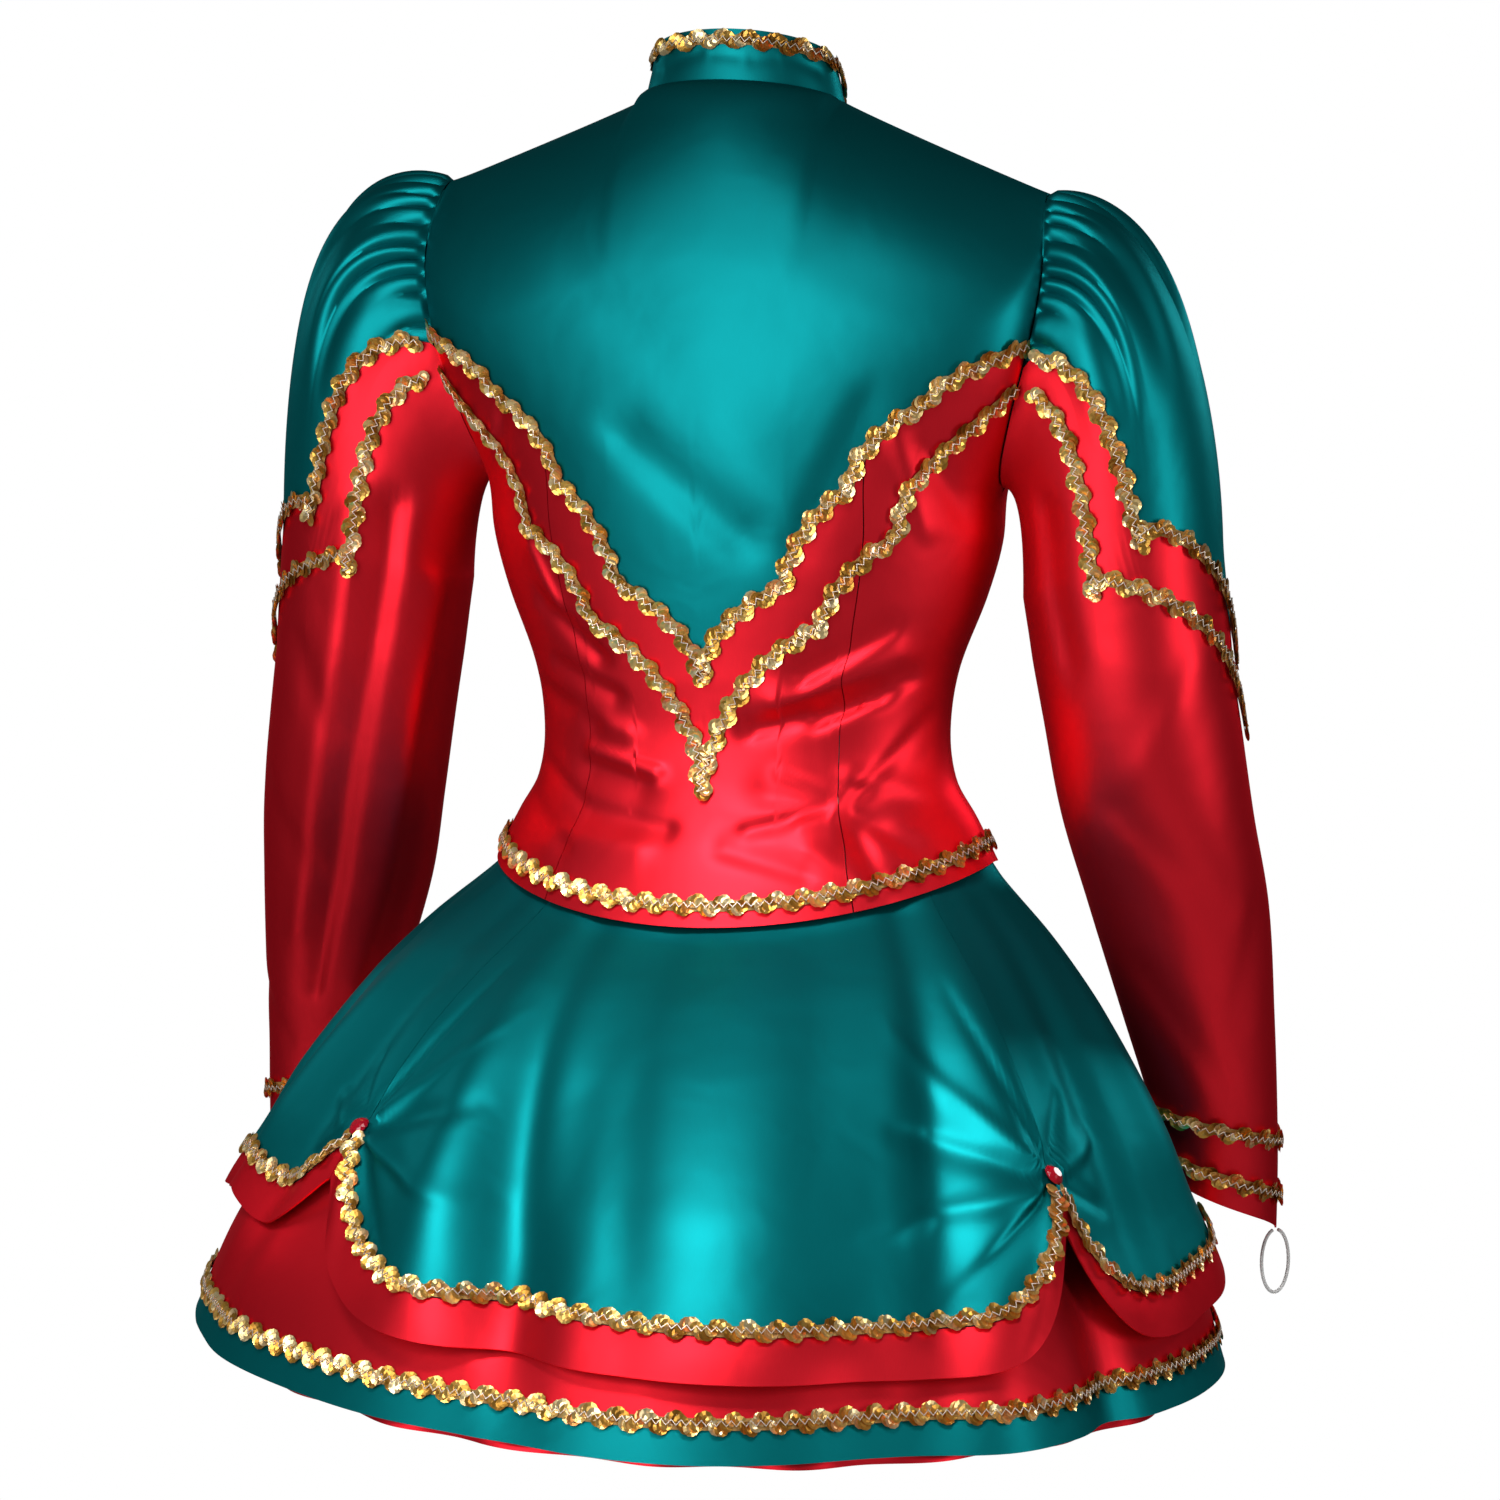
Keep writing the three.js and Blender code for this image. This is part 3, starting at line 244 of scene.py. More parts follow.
def smooth(table, at, column=1):
    """A smooth value from a table whose first column rises."""
    rows = np.asarray(table, dtype=float)
    keys = rows[:, 0]
    values = rows[:, column]
    last = len(keys) - 1
    before = np.maximum(np.arange(last + 1) - 1, 0)
    after = np.minimum(np.arange(last + 1) + 1, last)
    slope = (values[after] - values[before]) / (keys[after] - keys[before])
    v = np.clip(np.asarray(at, dtype=float), keys[0], keys[-1])
    i = np.clip(np.searchsorted(keys, v), 1, last)
    span = keys[i] - keys[i - 1]
    t = (v - keys[i - 1]) / span
    t2 = t * t
    t3 = t2 * t
    return (
        (2 * t3 - 3 * t2 + 1) * values[i - 1]
        + (t3 - 2 * t2 + t) * span * slope[i - 1]
        + (3 * t2 - 2 * t3) * values[i]
        + (t3 - t2) * span * slope[i]
    )


def scallop(s, bow=0.65):
    return bow * (1 - np.sqrt(np.maximum(0, 1 - s * s))) + (1 - bow) * s


def v_line(corners, u):
    """Height of a scalloped V line at u."""
    rows = np.asarray(corners, dtype=float)
    at = np.minimum(np.abs(u), 0.99999)
    i = np.searchsorted(rows[:, 0], at, side="right")
    low = rows[i - 1]
    high = rows[i]
    share = (high[..., 0] - at) / (high[..., 0] - low[..., 0])
    return lerp(high[..., 1], low[..., 1], scallop(share))


def turned(angle):
    return (np.asarray(angle, dtype=float) + 540) % 360 - 180


def cosd(angle):
    return np.cos(np.radians(angle))


def sind(angle):
    return np.sin(np.radians(angle))


def soft_lines(x, z, rows):
    """Depth of soft troughs along lines, steeper on one side and fading at both ends."""
    total = np.zeros(np.broadcast(x, z).shape)
    for x1, z1, x2, z2, depth, wide in rows:
        dx, dz = x2 - x1, z2 - z1
        length = math.hypot(dx, dz)
        along = ((x - x1) * dx + (z - z1) * dz) / length**2
        near = np.clip(along, 0, 1)
        across = ((x - x1) * dz - (z - z1) * dx) / length
        beyond = (along - near) * length
        half = wide * np.where(across > 0, 1.25, 0.75)
        total += depth * np.exp(-((across / half) ** 2) - (beyond / (1.2 * wide)) ** 2)
    return total


# ---- The jacket's body ----
def neck_and_shoulder(face, x):
    away = np.abs(x)
    round_in = np.sqrt(np.maximum(0, 1 - np.minimum(1, away / NECK["half"]) ** 2))
    deep = np.where(face > 0, NECK["back"], NECK["front"])
    middle = np.where(face > 0, NECK["z_back"], NECK["z_front"])
    along = np.clip((away - NECK["half"]) / (SHOULDER["x"] - NECK["half"]), 0, None)
    inside = away < NECK["half"]
    y = np.where(inside, deep * round_in, 0)
    collar_seam = lerp(NECK["z_side"], middle, round_in)
    z = np.where(inside, collar_seam, lerp(NECK["z_side"], SHOULDER["z"], along**0.95))
    return y, z


def jacket_hem(face, u):
    middle = np.where(face > 0, JACKET_HEM["back"], JACKET_HEM["front"])
    return lerp(JACKET_HEM["side"], middle, np.maximum(0, cosd(np.asarray(u) * 90)) ** 1.5)


def armhole_depth(face, level, u):
    middle = (SHOULDER["z"] + ARMHOLE["low"]) / 2
    away = (level - middle) / ((SHOULDER["z"] - ARMHOLE["low"]) / 2)
    round_in = np.sqrt(np.maximum(0, 1 - away**2))
    soft = 0.5 + 0.5 * np.cos(np.minimum(1, np.abs(away) / 1.4) * math.pi)
    return np.where(face > 0, ARMHOLE["back"], ARMHOLE["front"]) * lerp(soft, round_in, np.abs(u) ** 12)


def body_point(face, u, level, creased=True):
    """A point of the jacket: face 1 is the back, u runs from -1 to 1 across, level is the side's height."""
    face, u, level = np.broadcast_arrays(*(np.asarray(v, dtype=float) for v in (face, u, level)))
    across = sind(u * 90)
    towards = np.maximum(0, cosd(u * 90))
    top_x = SHOULDER["x"] * across
    top_y, top_z = neck_and_shoulder(face, top_x)
    share = (level - SHOULDER["z"]) / (JACKET_HEM["side"] - SHOULDER["z"])
    z = lerp(top_z, jacket_hem(face, u), share)
    x = smooth(BODY_WIDTH, level) * across
    deep = np.where(face > 0, smooth(BODY_DEPTH, z, 1), smooth(BODY_DEPTH, z, 2))
    full = lerp(armhole_depth(face, level, u), deep, towards)
    # The shoulder rounds over more tightly towards the armhole, so that its seam stays closed.
    tight = SHOULDER["round"] * (1 - SHOULDER["tighter"] * np.abs(u) ** 4)
    drop = np.clip((top_z - z) / tight, 0, 1)
    rounding = lerp(np.sqrt(drop * (2 - drop)), 1, np.abs(u) ** SHOULDER["edge"])
    crease = 0
    if creased:
        # The neck's round edge melts into the panel below it.
        beside = np.minimum(1, np.abs(top_x) / NECK_MELT["half"])
        bell = np.where(face > 0, NECK["back"], NECK["front"]) * cosd(90 * beside) ** 2
        melt = np.clip(drop / NECK_MELT["drop"], 0, 1)
        top_y = lerp(top_y, bell, melt * melt * (3 - 2 * melt))
        folds = np.where(face > 0, soft_lines(x, z, BACK_CREASES), soft_lines(x, z, FRONT_CREASES))
        crease = folds * towards**0.7
    return np.stack([x, face * (lerp(top_y, full, rounding) - crease), z], axis=-1)


def level_at(face, u, z):
    top = neck_and_shoulder(face, SHOULDER["x"] * sind(np.asarray(u) * 90))[1]
    return lerp(SHOULDER["z"], JACKET_HEM["side"], (z - top) / (jacket_hem(face, u) - top))


def face_and_u(theta):
    angle = turned(theta)
    back = np.abs(angle) <= 90
    return np.where(back, 1.0, -1.0), np.where(back, angle, np.sign(angle) * (180 - np.abs(angle))) / 90


def hem_point(theta, up):
    face, u = face_and_u(theta)
    return body_point(face, u, level_at(face, u, jacket_hem(face, u) + up))


# ---- The sleeves ----
def armhole_point(side, at):
    angle = turned(at)
    middle = (SHOULDER["z"] + ARMHOLE["low"]) / 2
    level = middle + (SHOULDER["z"] - middle) * cosd(angle)
    return body_point(np.where(angle >= 0, 1.0, -1.0), side, level, creased=False)


def tube_point(side, at, s):
    share = s - 1
    pointed = 1 - np.abs(turned(at - SLEEVE["point_at"])) / 180
    cuff = SLEEVE["left" if side > 0 else "right"]
    z = lerp(SLEEVE["ring"], cuff, share) - SLEEVE["point"] * pointed * np.maximum(0, share) ** 3
    centre = smooth(ARM, z, 1 if side > 0 else 2)
    x = side * (centre + smooth(ARM, z, 4) * cosd(at))
    y = smooth(ARM, z, 3) + smooth(ARM, z, 5) * sind(at)
    return np.stack([x, y, z], axis=-1)


def gathers(at, s):
    """Gathers where the head is drawn into the armhole: broad tucks with sharp valleys, of uneven length."""
    phi = np.radians(turned(at))
    wander = 40 * phi + 1.6 * np.sin(5 * phi + 0.7) + 1.1 * np.sin(11 * phi)
    tuck = 2 * np.abs(np.sin(wander / 2)) ** 0.7 - 1.1
    reach = 0.17 + 0.09 * np.sin(6.3 * phi + 1) + 0.06 * np.sin(13 * phi)
    near = np.clip(s / 0.02, 0, 1) * np.exp(-((s / np.maximum(reach, 0.06)) ** 2))
    ridge = np.cos(0.31 * wander + 1) + 0.6 * np.cos(0.19 * wander)
    swell = np.sin(math.pi * np.clip(s / 0.62, 0, 1)) * np.clip(1.3 - s, 0, 1)
    around = np.clip((112 - np.abs(turned(at))) / 22, 0, 1)
    return (2.6 * tuck * near + 2.2 * ridge * swell) * around


def sleeve_head(side, at, s):
    """The head's own curve, from the armhole out over the puff and down to the tube."""
    share = s[..., None]
    high = 0.5 + 0.5 * cosd(at)
    reach, lift = PUFF["left" if side > 0 else "right"]
    out = np.stack([np.full(at.shape, float(side)), PUFF["lean"] * sind(at), lift * cosd(at)], axis=-1)
    start = armhole_point(side, at) + out * ARMHOLE["gap"]
    end = tube_point(side, at, np.ones(at.shape))
    first = start + out * (PUFF["least"] + reach * high)[..., None]
    second = end + np.stack([0 * at, 0 * at, PUFF["low"] + PUFF["high"] * high], axis=-1)
    w = 1 - share
    return w**3 * start + 3 * w * w * share * first + 3 * w * share**2 * second + share**3 * end


def sleeve_course(side, at, s):
    """The smooth sleeve, without its gathers and creases."""
    head = sleeve_head(side, at, np.clip(s, 0, 1))
    return np.where((s < 1)[..., None], head, tube_point(side, at, np.maximum(s, 1)))


def head_normal(side, at, s):
    round_it = sleeve_head(side, at + 0.5, s) - sleeve_head(side, at - 0.5, s)
    down = sleeve_head(side, at, s + 0.004) - sleeve_head(side, at, s - 0.004)
    n = np.cross(round_it, down) * -side
    return n / np.maximum(np.linalg.norm(n, axis=-1, keepdims=True), 1e-9)


def sleeve_point(side, at, s):
    at, s = np.broadcast_arrays(np.asarray(at, dtype=float), np.asarray(s, dtype=float))
    rows = LEFT_SLEEVE_CREASES if side > 0 else RIGHT_SLEEVE_CREASES
    # Round the ring where the head becomes a tube, the two are blended.
    reach = 0.16 * np.clip(1 - np.abs(s - 1) / 0.24, 0, 1)
    place = sum(sleeve_course(side, at, s + shift) for shift in (-reach, 0, reach)) / 3
    drawn = (s < 1) * gathers(at, np.clip(s, 0, 1))
    place = place + head_normal(side, at, np.clip(s, 0, 1)) * drawn[..., None]
    radial = np.stack([side * cosd(at), sind(at), 0 * at], axis=-1)
    round_mm = 0.95
    lines = [(a * round_mm, p, b * round_mm, q, deep, wide) for a, p, b, q, deep, wide in rows]
    depth = soft_lines(turned(at) * round_mm, place[..., 2], lines)
    return place - radial * depth[..., None]


def round_line(corners, at):
    """The share of a scalloped line round the sleeve at an angle."""
    rows = np.asarray(corners, dtype=float)
    a = np.clip(at, rows[-1, 0], rows[0, 0])
    i = np.clip(len(rows) - np.searchsorted(rows[::-1, 0], a, side="right"), 1, len(rows) - 1)
    one, two = rows[i - 1], rows[i]
    outwards = (one[..., 1] < two[..., 1])[..., None]
    high, low = np.where(outwards, one, two), np.where(outwards, two, one)
    share = (a - high[..., 0]) / (low[..., 0] - high[..., 0])
    steep = scallop(share, -0.35)
    gentle = scallop(share, 0.45)
    return lerp(high[..., 1], low[..., 1], np.where(high[..., 1] < 0.1, steep, gentle))


# ---- The skirts ----
def inside_jacket(theta, up, inset):
    face, u = face_and_u(theta)
    level = JACKET_HEM["side"] + (SKIRT["waist"] - JACKET_HEM["side"]) * up
    point = body_point(face, u, level, creased=False)
    outward = np.stack([sind(theta), cosd(theta), 0 * np.asarray(theta)], axis=-1)
    room = lerp(TUCK["room"], TUCK["crease_room"], np.maximum(0, cosd(theta)) ** 0.5)
    return point - outward * (inset + room)[..., None]


def skirt_hem(theta):
    return SKIRT["hem"] - SKIRT["dip"] * np.maximum(0, cosd(theta)) ** 2


def fold_out(folds, theta):
    return sum(out * np.exp(-((turned(theta - SKIRT["turn"] - psi) / wide) ** 2)) for psi, wide, out in folds)


def hanging_folds(theta, t):
    """Folds that lean on their way down and are deepest half way."""
    total = 0
    for high, low, wide, out in HANGING_FOLDS:
        away = turned(theta - SKIRT["turn"] - lerp(high, low, np.clip(t, 0, 1)))
        total = total + out * np.exp(-((away / wide) ** 2))
    return total * np.exp(-(((t - DEEPEST["at"]) / DEEPEST["reach"]) ** 2))


OVER = {"inset": 0, "clear": 3, "folds": OVERSKIRT_FOLDS, "deepened": 1.1, "rise": 0.8, "ruffle": 0}
UNDER = {"inset": 2.8, "clear": -9, "folds": UNDERSKIRT_FOLDS, "deepened": 1.15, "rise": 1, "ruffle": 0}
PETTI = {"inset": 5.4, "clear": -20, "folds": [], "deepened": 1, "rise": 1, "ruffle": 0}
BINDING = {**PETTI, "ruffle": 3.5}


def jewel_gathers(theta, z):
    """Folds that radiate from each jewel into the panels beside it."""
    total = 0
    for name, psi in JEWELS:
        near = SKIRT["turn"] + psi
        x = turned(theta - near) * JEWEL["degree"]
        up = z - (overskirt_hem(near) + BAND["over"] + JEWEL["above"])
        inwards = -1 if psi > 0 else 1
        if "front" in name:
            inwards = -inwards
        rows = []
        for angle, reach, depth, wide in JEWEL_FAN:
            ends = [(inwards * far * cosd(angle), far * sind(angle)) for far in (JEWEL["start"], reach)]
            rows.append((*ends[0], *ends[1], depth, wide))
        fade = np.exp(-((np.hypot(x, up) / JEWEL["fade"]) ** 2))
        total = total + soft_lines(x, up, rows) * fade
    return total


def skirt_point(layer, theta, t):
    theta, t = np.broadcast_arrays(np.asarray(theta, dtype=float), np.asarray(t, dtype=float))
    inset = layer["inset"] + CLOTH + TUCK["clear"]
    tucked = inside_jacket(theta, np.maximum(0, -t), inset)
    start = inside_jacket(theta, 0 * t, inset)
    out = np.stack([sind(theta), cosd(theta), 0 * theta], axis=-1)
    hem_y = SKIRT["centre"] + SKIRT["deep"] * out[..., 1]
    hem = np.stack([SKIRT["half"] * out[..., 0], hem_y, 0 * theta + SKIRT["hem"]], axis=-1)
    share = smooth(FLARE, np.maximum(0, t))
    point = lerp(start, hem, share[..., None])
    point[..., 2] = lerp(start[..., 2], skirt_hem(theta), np.maximum(0, t))
    low = np.clip((skirt_hem(theta) + RUFFLE["above"] - point[..., 2]) / RUFFLE["over"], 0, 1)
    wave = layer["ruffle"] * sind(RUFFLE["waves"] * theta) * low
    fold = fold_out(layer["folds"], theta) * share ** layer["rise"] * layer["deepened"]
    # Half way down the overskirt's folds hang deeper, and the layers below give way to them.
    over = hanging_folds(theta, t)
    fold = fold + (over if layer is OVER else np.minimum(0, 1.05 * over))
    away = layer["clear"] * np.minimum(1, share * 2.5) + fold + wave * share
    if layer is OVER:
        away = away - jewel_gathers(theta, point[..., 2]) * np.minimum(1, 3 * share)
    return np.where((t < 0)[..., None], tucked, point + out * away[..., None])


def drop_at(theta, z):
    start = inside_jacket(theta, 0 * np.asarray(theta, dtype=float), 0)[..., 2]
    return (z - start) / (skirt_hem(theta) - start)


def overskirt_hem(theta):
    total = 0
    for psi, rise, wide in LIFTS:
        total = total + rise * np.exp(-(np.abs(turned(theta - SKIRT["turn"] - psi) / wide) ** 1.25))
    return OVERSKIRT_HEM + total


def collar_point(angle, up):
    across, towards = sind(angle), cosd(angle)
    face = np.where(towards >= 0, 1.0, -1.0)
    foot_y, foot_z = neck_and_shoulder(face, NECK["half"] * across * 0.99999)
    narrow = COLLAR["narrow"] - COLLAR["lean"] * up
    height = COLLAR["height"] + COLLAR["rise"] * np.abs(towards)
    dents = soft_lines(turned(angle), up * COLLAR["height"], COLLAR_CREASES) * np.clip(up * 6, 0, 1)
    narrow = narrow - dents / NECK["half"]
    z = foot_z + COLLAR["seat"] + height * up
    return np.stack([NECK["half"] * across * narrow, face * foot_y * narrow, z], axis=-1)


# A surface is (its function, which way its normal points, the steps that its normal is found with).
SURFACES = {
    "back": (lambda a, b: body_point(1.0, a, b), -1, 0.002, 0.05),
    "front": (lambda a, b: body_point(-1.0, a, b), 1, 0.002, 0.05),
    "hem": (hem_point, -1, 0.3, 0.3),
    "left": (lambda a, b: sleeve_point(1, a, b), -1, 0.5, 0.004),
    "right": (lambda a, b: sleeve_point(-1, a, b), 1, 0.5, 0.004),
    "over": (lambda a, b: skirt_point(OVER, a, b), 1, 0.2, 0.002),
    "under": (lambda a, b: skirt_point(UNDER, a, b), 1, 0.2, 0.002),
    "petti": (lambda a, b: skirt_point(PETTI, a, b), 1, 0.2, 0.002),
    "binding": (lambda a, b: skirt_point(BINDING, a, b), 1, 0.2, 0.001),
    "collar": (collar_point, -1, 0.2, 0.02),
    "waist": (lambda a, b: inside_jacket(a, b, CLOTH + WAISTBAND["behind"] - TUCK["room"]), -1, 0.2, 0.01),
}


def leaned(point):
    out = np.array(point, dtype=float)
    out[..., 2] += out[..., 0] * smooth(LEAN, out[..., 2])
    return out


def place(surface, a, b):
    """Points of a surface, leaned as the garment is worn, in metres."""
    return leaned(SURFACES[surface][0](a, b)) * MM


def normals(surface, a, b):
    _, sign, step_a, step_b = SURFACES[surface]
    along_a = place(surface, a + step_a, b) - place(surface, a - step_a, b)
    along_b = place(surface, a, b + step_b) - place(surface, a, b - step_b)
    n = np.cross(along_a, along_b) * sign
    return n / np.maximum(np.linalg.norm(n, axis=-1, keepdims=True), 1e-12)


# ---- Making meshes ----
def new_object(name, points, faces, uvs=None):
    mesh = bpy.data.meshes.new(name)
    mesh.from_pydata([tuple(p) for p in points], [], faces)
    if uvs is not None:
        layer = mesh.uv_layers.new(name="cut")
        loops = np.zeros(len(mesh.loops), dtype=np.int64)
        mesh.loops.foreach_get("vertex_index", loops)
        layer.data.foreach_set("uv", np.asarray(uvs)[loops].astype(np.float32).ravel())
    mesh.polygons.foreach_set("use_smooth", [True] * len(mesh.polygons))
    mesh.update()
    obj = bpy.data.objects.new(name, mesh)
    bpy.context.scene.collection.objects.link(obj)
    if volume(mesh) < 0:
        mesh.flip_normals()
    return obj


def volume(mesh):
    mesh.calc_loop_triangles()
    corners = np.zeros(len(mesh.loop_triangles) * 3, dtype=np.int64)
    mesh.loop_triangles.foreach_get("vertices", corners)
    points = np.zeros(len(mesh.vertices) * 3)
    mesh.vertices.foreach_get("co", points)
    p = points.reshape(-1, 3)[corners].reshape(-1, 3, 3)
    return float(np.einsum("ij,ij->i", p[:, 0], np.cross(p[:, 1], p[:, 2])).sum())


def finish_piece(obj, material, node_name):
    """Gives a piece its finish and the body it rides on, and hides the node it stands for."""
    obj.data.materials.append(material)
    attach(obj, "root")
    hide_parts(node_name)


def cloth_wall(name, surface, a, b, thick, closed=False):
    """A closed thin wall of cloth over a grid of places, with the cut's own UV map in metres."""
    a, b = (np.array(v, dtype=float) for v in np.broadcast_arrays(a, b))
    outer = place(surface, a, b)
    inner = outer - normals(surface, a, b) * thick
    rows, columns = a.shape
    steps = columns if closed else columns - 1
    i, j = np.meshgrid(np.arange(rows - 1), np.arange(steps), indexing="ij")
    p = i * columns + j
    q = i * columns + (j + 1) % columns
    outside = np.stack([p, q, q + columns, p + columns], axis=-1).reshape(-1, 4)
    base = rows * columns
    inside = outside[:, ::-1] + base
    rims = []
    row = np.arange(steps)
    nxt = (row + 1) % columns
    rims.append(np.stack([nxt, row, row + base, nxt + base], axis=-1))
    low = (rows - 1) * columns
    rims.append(np.stack([row + low, nxt + low, nxt + low + base, row + low + base], axis=-1))
    if not closed:
        line = np.arange(rows - 1) * columns
        rims.append(np.stack([line, line + columns, line + columns + base, line + base], axis=-1))
        end = line + columns - 1
        rims.append(np.stack([end + columns, end, end + base, end + columns + base], axis=-1))
    faces = np.concatenate([outside, inside, *rims]).tolist()
    across = np.linalg.norm(np.diff(outer, axis=1), axis=-1)
    down = np.linalg.norm(np.diff(outer, axis=0), axis=-1)
    u = np.concatenate([np.zeros((rows, 1)), np.cumsum(across, axis=1)], axis=1)
    u = u - u[:, columns // 2][:, None]
    v = np.concatenate([np.zeros((1, columns)), np.cumsum(down, axis=0)], axis=0)
    uv = np.stack([u, -v], axis=-1).reshape(-1, 2)
    points = np.concatenate([outer.reshape(-1, 3), inner.reshape(-1, 3)])
    obj = new_object(name, points, faces, np.concatenate([uv, uv]))
    obj.data.set_sharp_from_angle(angle=math.radians(55))
    cells = np.cross(np.diff(outer, axis=1)[:-1], np.diff(outer, axis=0)[:, :-1])
    area = float(np.linalg.norm(cells, axis=-1).sum())
    size = (float(across.sum(axis=1).max()), float(down.sum(axis=0).max()))
    return obj, size, area


def sew(name, surface, a, b, colour, closed=False, thick=None, cloth="satin"):
    """One cut piece of cloth: its wall, its finish, the node it stands for and its flat size."""
    thick = thick or bpy.context.scene.majorette_uniform.cloth
    obj, size, area = cloth_wall(f"{name}_{cloth}", surface, a, b, thick, closed)
    finish_piece(obj, finish(colour), name)


def rows_between(top, bottom, shares):
    return np.stack([lerp(top, bottom, s) for s in shares])


def even(count, ease=1.0):
    return (np.arange(count + 1) / count) ** ease


# ---- Shader groups and materials ----
def node(tree, kind, **values):
    made = tree.nodes.new(kind)
    for key, value in values.items():
        setattr(made, key, value)
    return made


def preset(made, values):
    """Sets a node's inputs, by their names or numbers."""
    for socket, value in values.items():
        made.inputs[socket].default_value = value


def shader_group(name, inputs, outputs):
    group = bpy.data.node_groups.new(name, "ShaderNodeTree")
    for label, default in inputs:
        socket = group.interface.new_socket(name=label, in_out="INPUT", socket_type="NodeSocketFloat")
        socket.default_value = default
    for label, kind in outputs:
        group.interface.new_socket(name=label, in_out="OUTPUT", socket_type=kind)
    start = group.nodes.new("NodeGroupInput")
    end = group.nodes.new("NodeGroupOutput")
    return group, start, end


def make_thread_grain():
    """Fine lengthwise threads of satin and the slight puckers of its lining."""
    group, start, end = shader_group(
        "satin_thread_grain",
        [("Threads", 2600.0), ("Length", 140.0), ("Puckers", 22.0), ("Pucker depth", 0.35)],
        [("Height", "NodeSocketFloat"), ("Mottle", "NodeSocketFloat")],
    )
    links = group.links
    uv = node(group, "ShaderNodeUVMap", uv_map="cut")
    parts = node(group, "ShaderNodeSeparateXYZ")
    links.new(uv.outputs[0], parts.inputs[0])
    fine = node(group, "ShaderNodeCombineXYZ")
    for index, label in ((0, "Threads"), (1, "Length")):
        scale = node(group, "ShaderNodeMath", operation="MULTIPLY")
        links.new(parts.outputs[index], scale.inputs[0])
        links.new(start.outputs[label], scale.inputs[1])
        links.new(scale.outputs[0], fine.inputs[index])
    threads = node(group, "ShaderNodeTexNoise", noise_dimensions="2D")
    preset(threads, {"Scale": 1.0, "Detail": 2.0})
    links.new(fine.outputs[0], threads.inputs["Vector"])
    where = node(group, "ShaderNodeTexCoord")
    puckers = node(group, "ShaderNodeTexNoise")
    preset(puckers, {"Detail": 2.0, "Distortion": 0.4})
    links.new(where.outputs["Object"], puckers.inputs["Vector"])
    links.new(start.outputs["Puckers"], puckers.inputs["Scale"])
    deep = node(group, "ShaderNodeMath", operation="MULTIPLY")
    links.new(puckers.outputs[0], deep.inputs[0])
    links.new(start.outputs["Pucker depth"], deep.inputs[1])
    total = node(group, "ShaderNodeMath", operation="MULTIPLY_ADD")
    preset(total, {1: 0.012})
    links.new(threads.outputs[0], total.inputs[0])
    links.new(deep.outputs[0], total.inputs[2])
    links.new(total.outputs[0], end.inputs["Height"])
    links.new(threads.outputs[0], end.inputs["Mottle"])
    return group


def make_cloth_tint():
    """A colour that varies a little with the thread and over the cloth."""
    group, start, end = shader_group(
        "cloth_tint", [("Mottle", 0.5), ("Patch scale", 9.0), ("Amount", 0.18)],
        [("Colour", "NodeSocketColor")],
    )
    for label, default in (("Bright", (0.5, 0.5, 0.5, 1)), ("Dark", (0.3, 0.3, 0.3, 1))):
        socket = group.interface.new_socket(name=label, in_out="INPUT", socket_type="NodeSocketColor")
        socket.default_value = default
    links = group.links
    where = node(group, "ShaderNodeTexCoord")
    patch = node(group, "ShaderNodeTexNoise")
    links.new(where.outputs["Object"], patch.inputs["Vector"])
    links.new(start.outputs["Patch scale"], patch.inputs["Scale"])
    both = node(group, "ShaderNodeMath", operation="ADD")
    links.new(patch.outputs[0], both.inputs[0])
    links.new(start.outputs["Mottle"], both.inputs[1])
    scaled = node(group, "ShaderNodeMath", operation="MULTIPLY", use_clamp=True)
    links.new(both.outputs[0], scaled.inputs[0])
    links.new(start.outputs["Amount"], scaled.inputs[1])
    blend = node(group, "ShaderNodeMix", data_type="RGBA")
    links.new(scaled.outputs[0], blend.inputs[0])
    links.new(start.outputs["Bright"], blend.inputs[6])
    links.new(start.outputs["Dark"], blend.inputs[7])
    links.new(blend.outputs[2], end.inputs["Colour"])
    return group


def new_material(name):
    material = bpy.data.materials.new(name)
    material.use_nodes = True
    return material, material.node_tree, material.node_tree.nodes["Principled BSDF"]


def tinted(tree, shader, mottle, bright, dark, amount=0.18):
    """Gives a shader a colour that goes from bright to dark with a pattern."""
    tint = node(tree, "ShaderNodeGroup", node_tree=bpy.data.node_groups["cloth_tint"])
    preset(tint, {"Bright": (*bright, 1), "Dark": (*dark, 1), "Amount": amount})
    tree.links.new(mottle, tint.inputs["Mottle"])
    tree.links.new(tint.outputs["Colour"], shader.inputs["Base Color"])


def bumped(tree, shader, height, strength, depth):
    """Gives a shader a bump, its depth in metres."""
    bump = node(tree, "ShaderNodeBump")
    preset(bump, {"Strength": strength, "Distance": depth})
    tree.links.new(height, bump.inputs["Height"])
    tree.links.new(bump.outputs[0], shader.inputs["Normal"])


def object_noise(tree, scale, detail=2.0):
    where = node(tree, "ShaderNodeTexCoord")
    noise = node(tree, "ShaderNodeTexNoise")
    preset(noise, {"Scale": scale, "Detail": detail})
    tree.links.new(where.outputs["Object"], noise.inputs["Vector"])
    return noise.outputs[0]


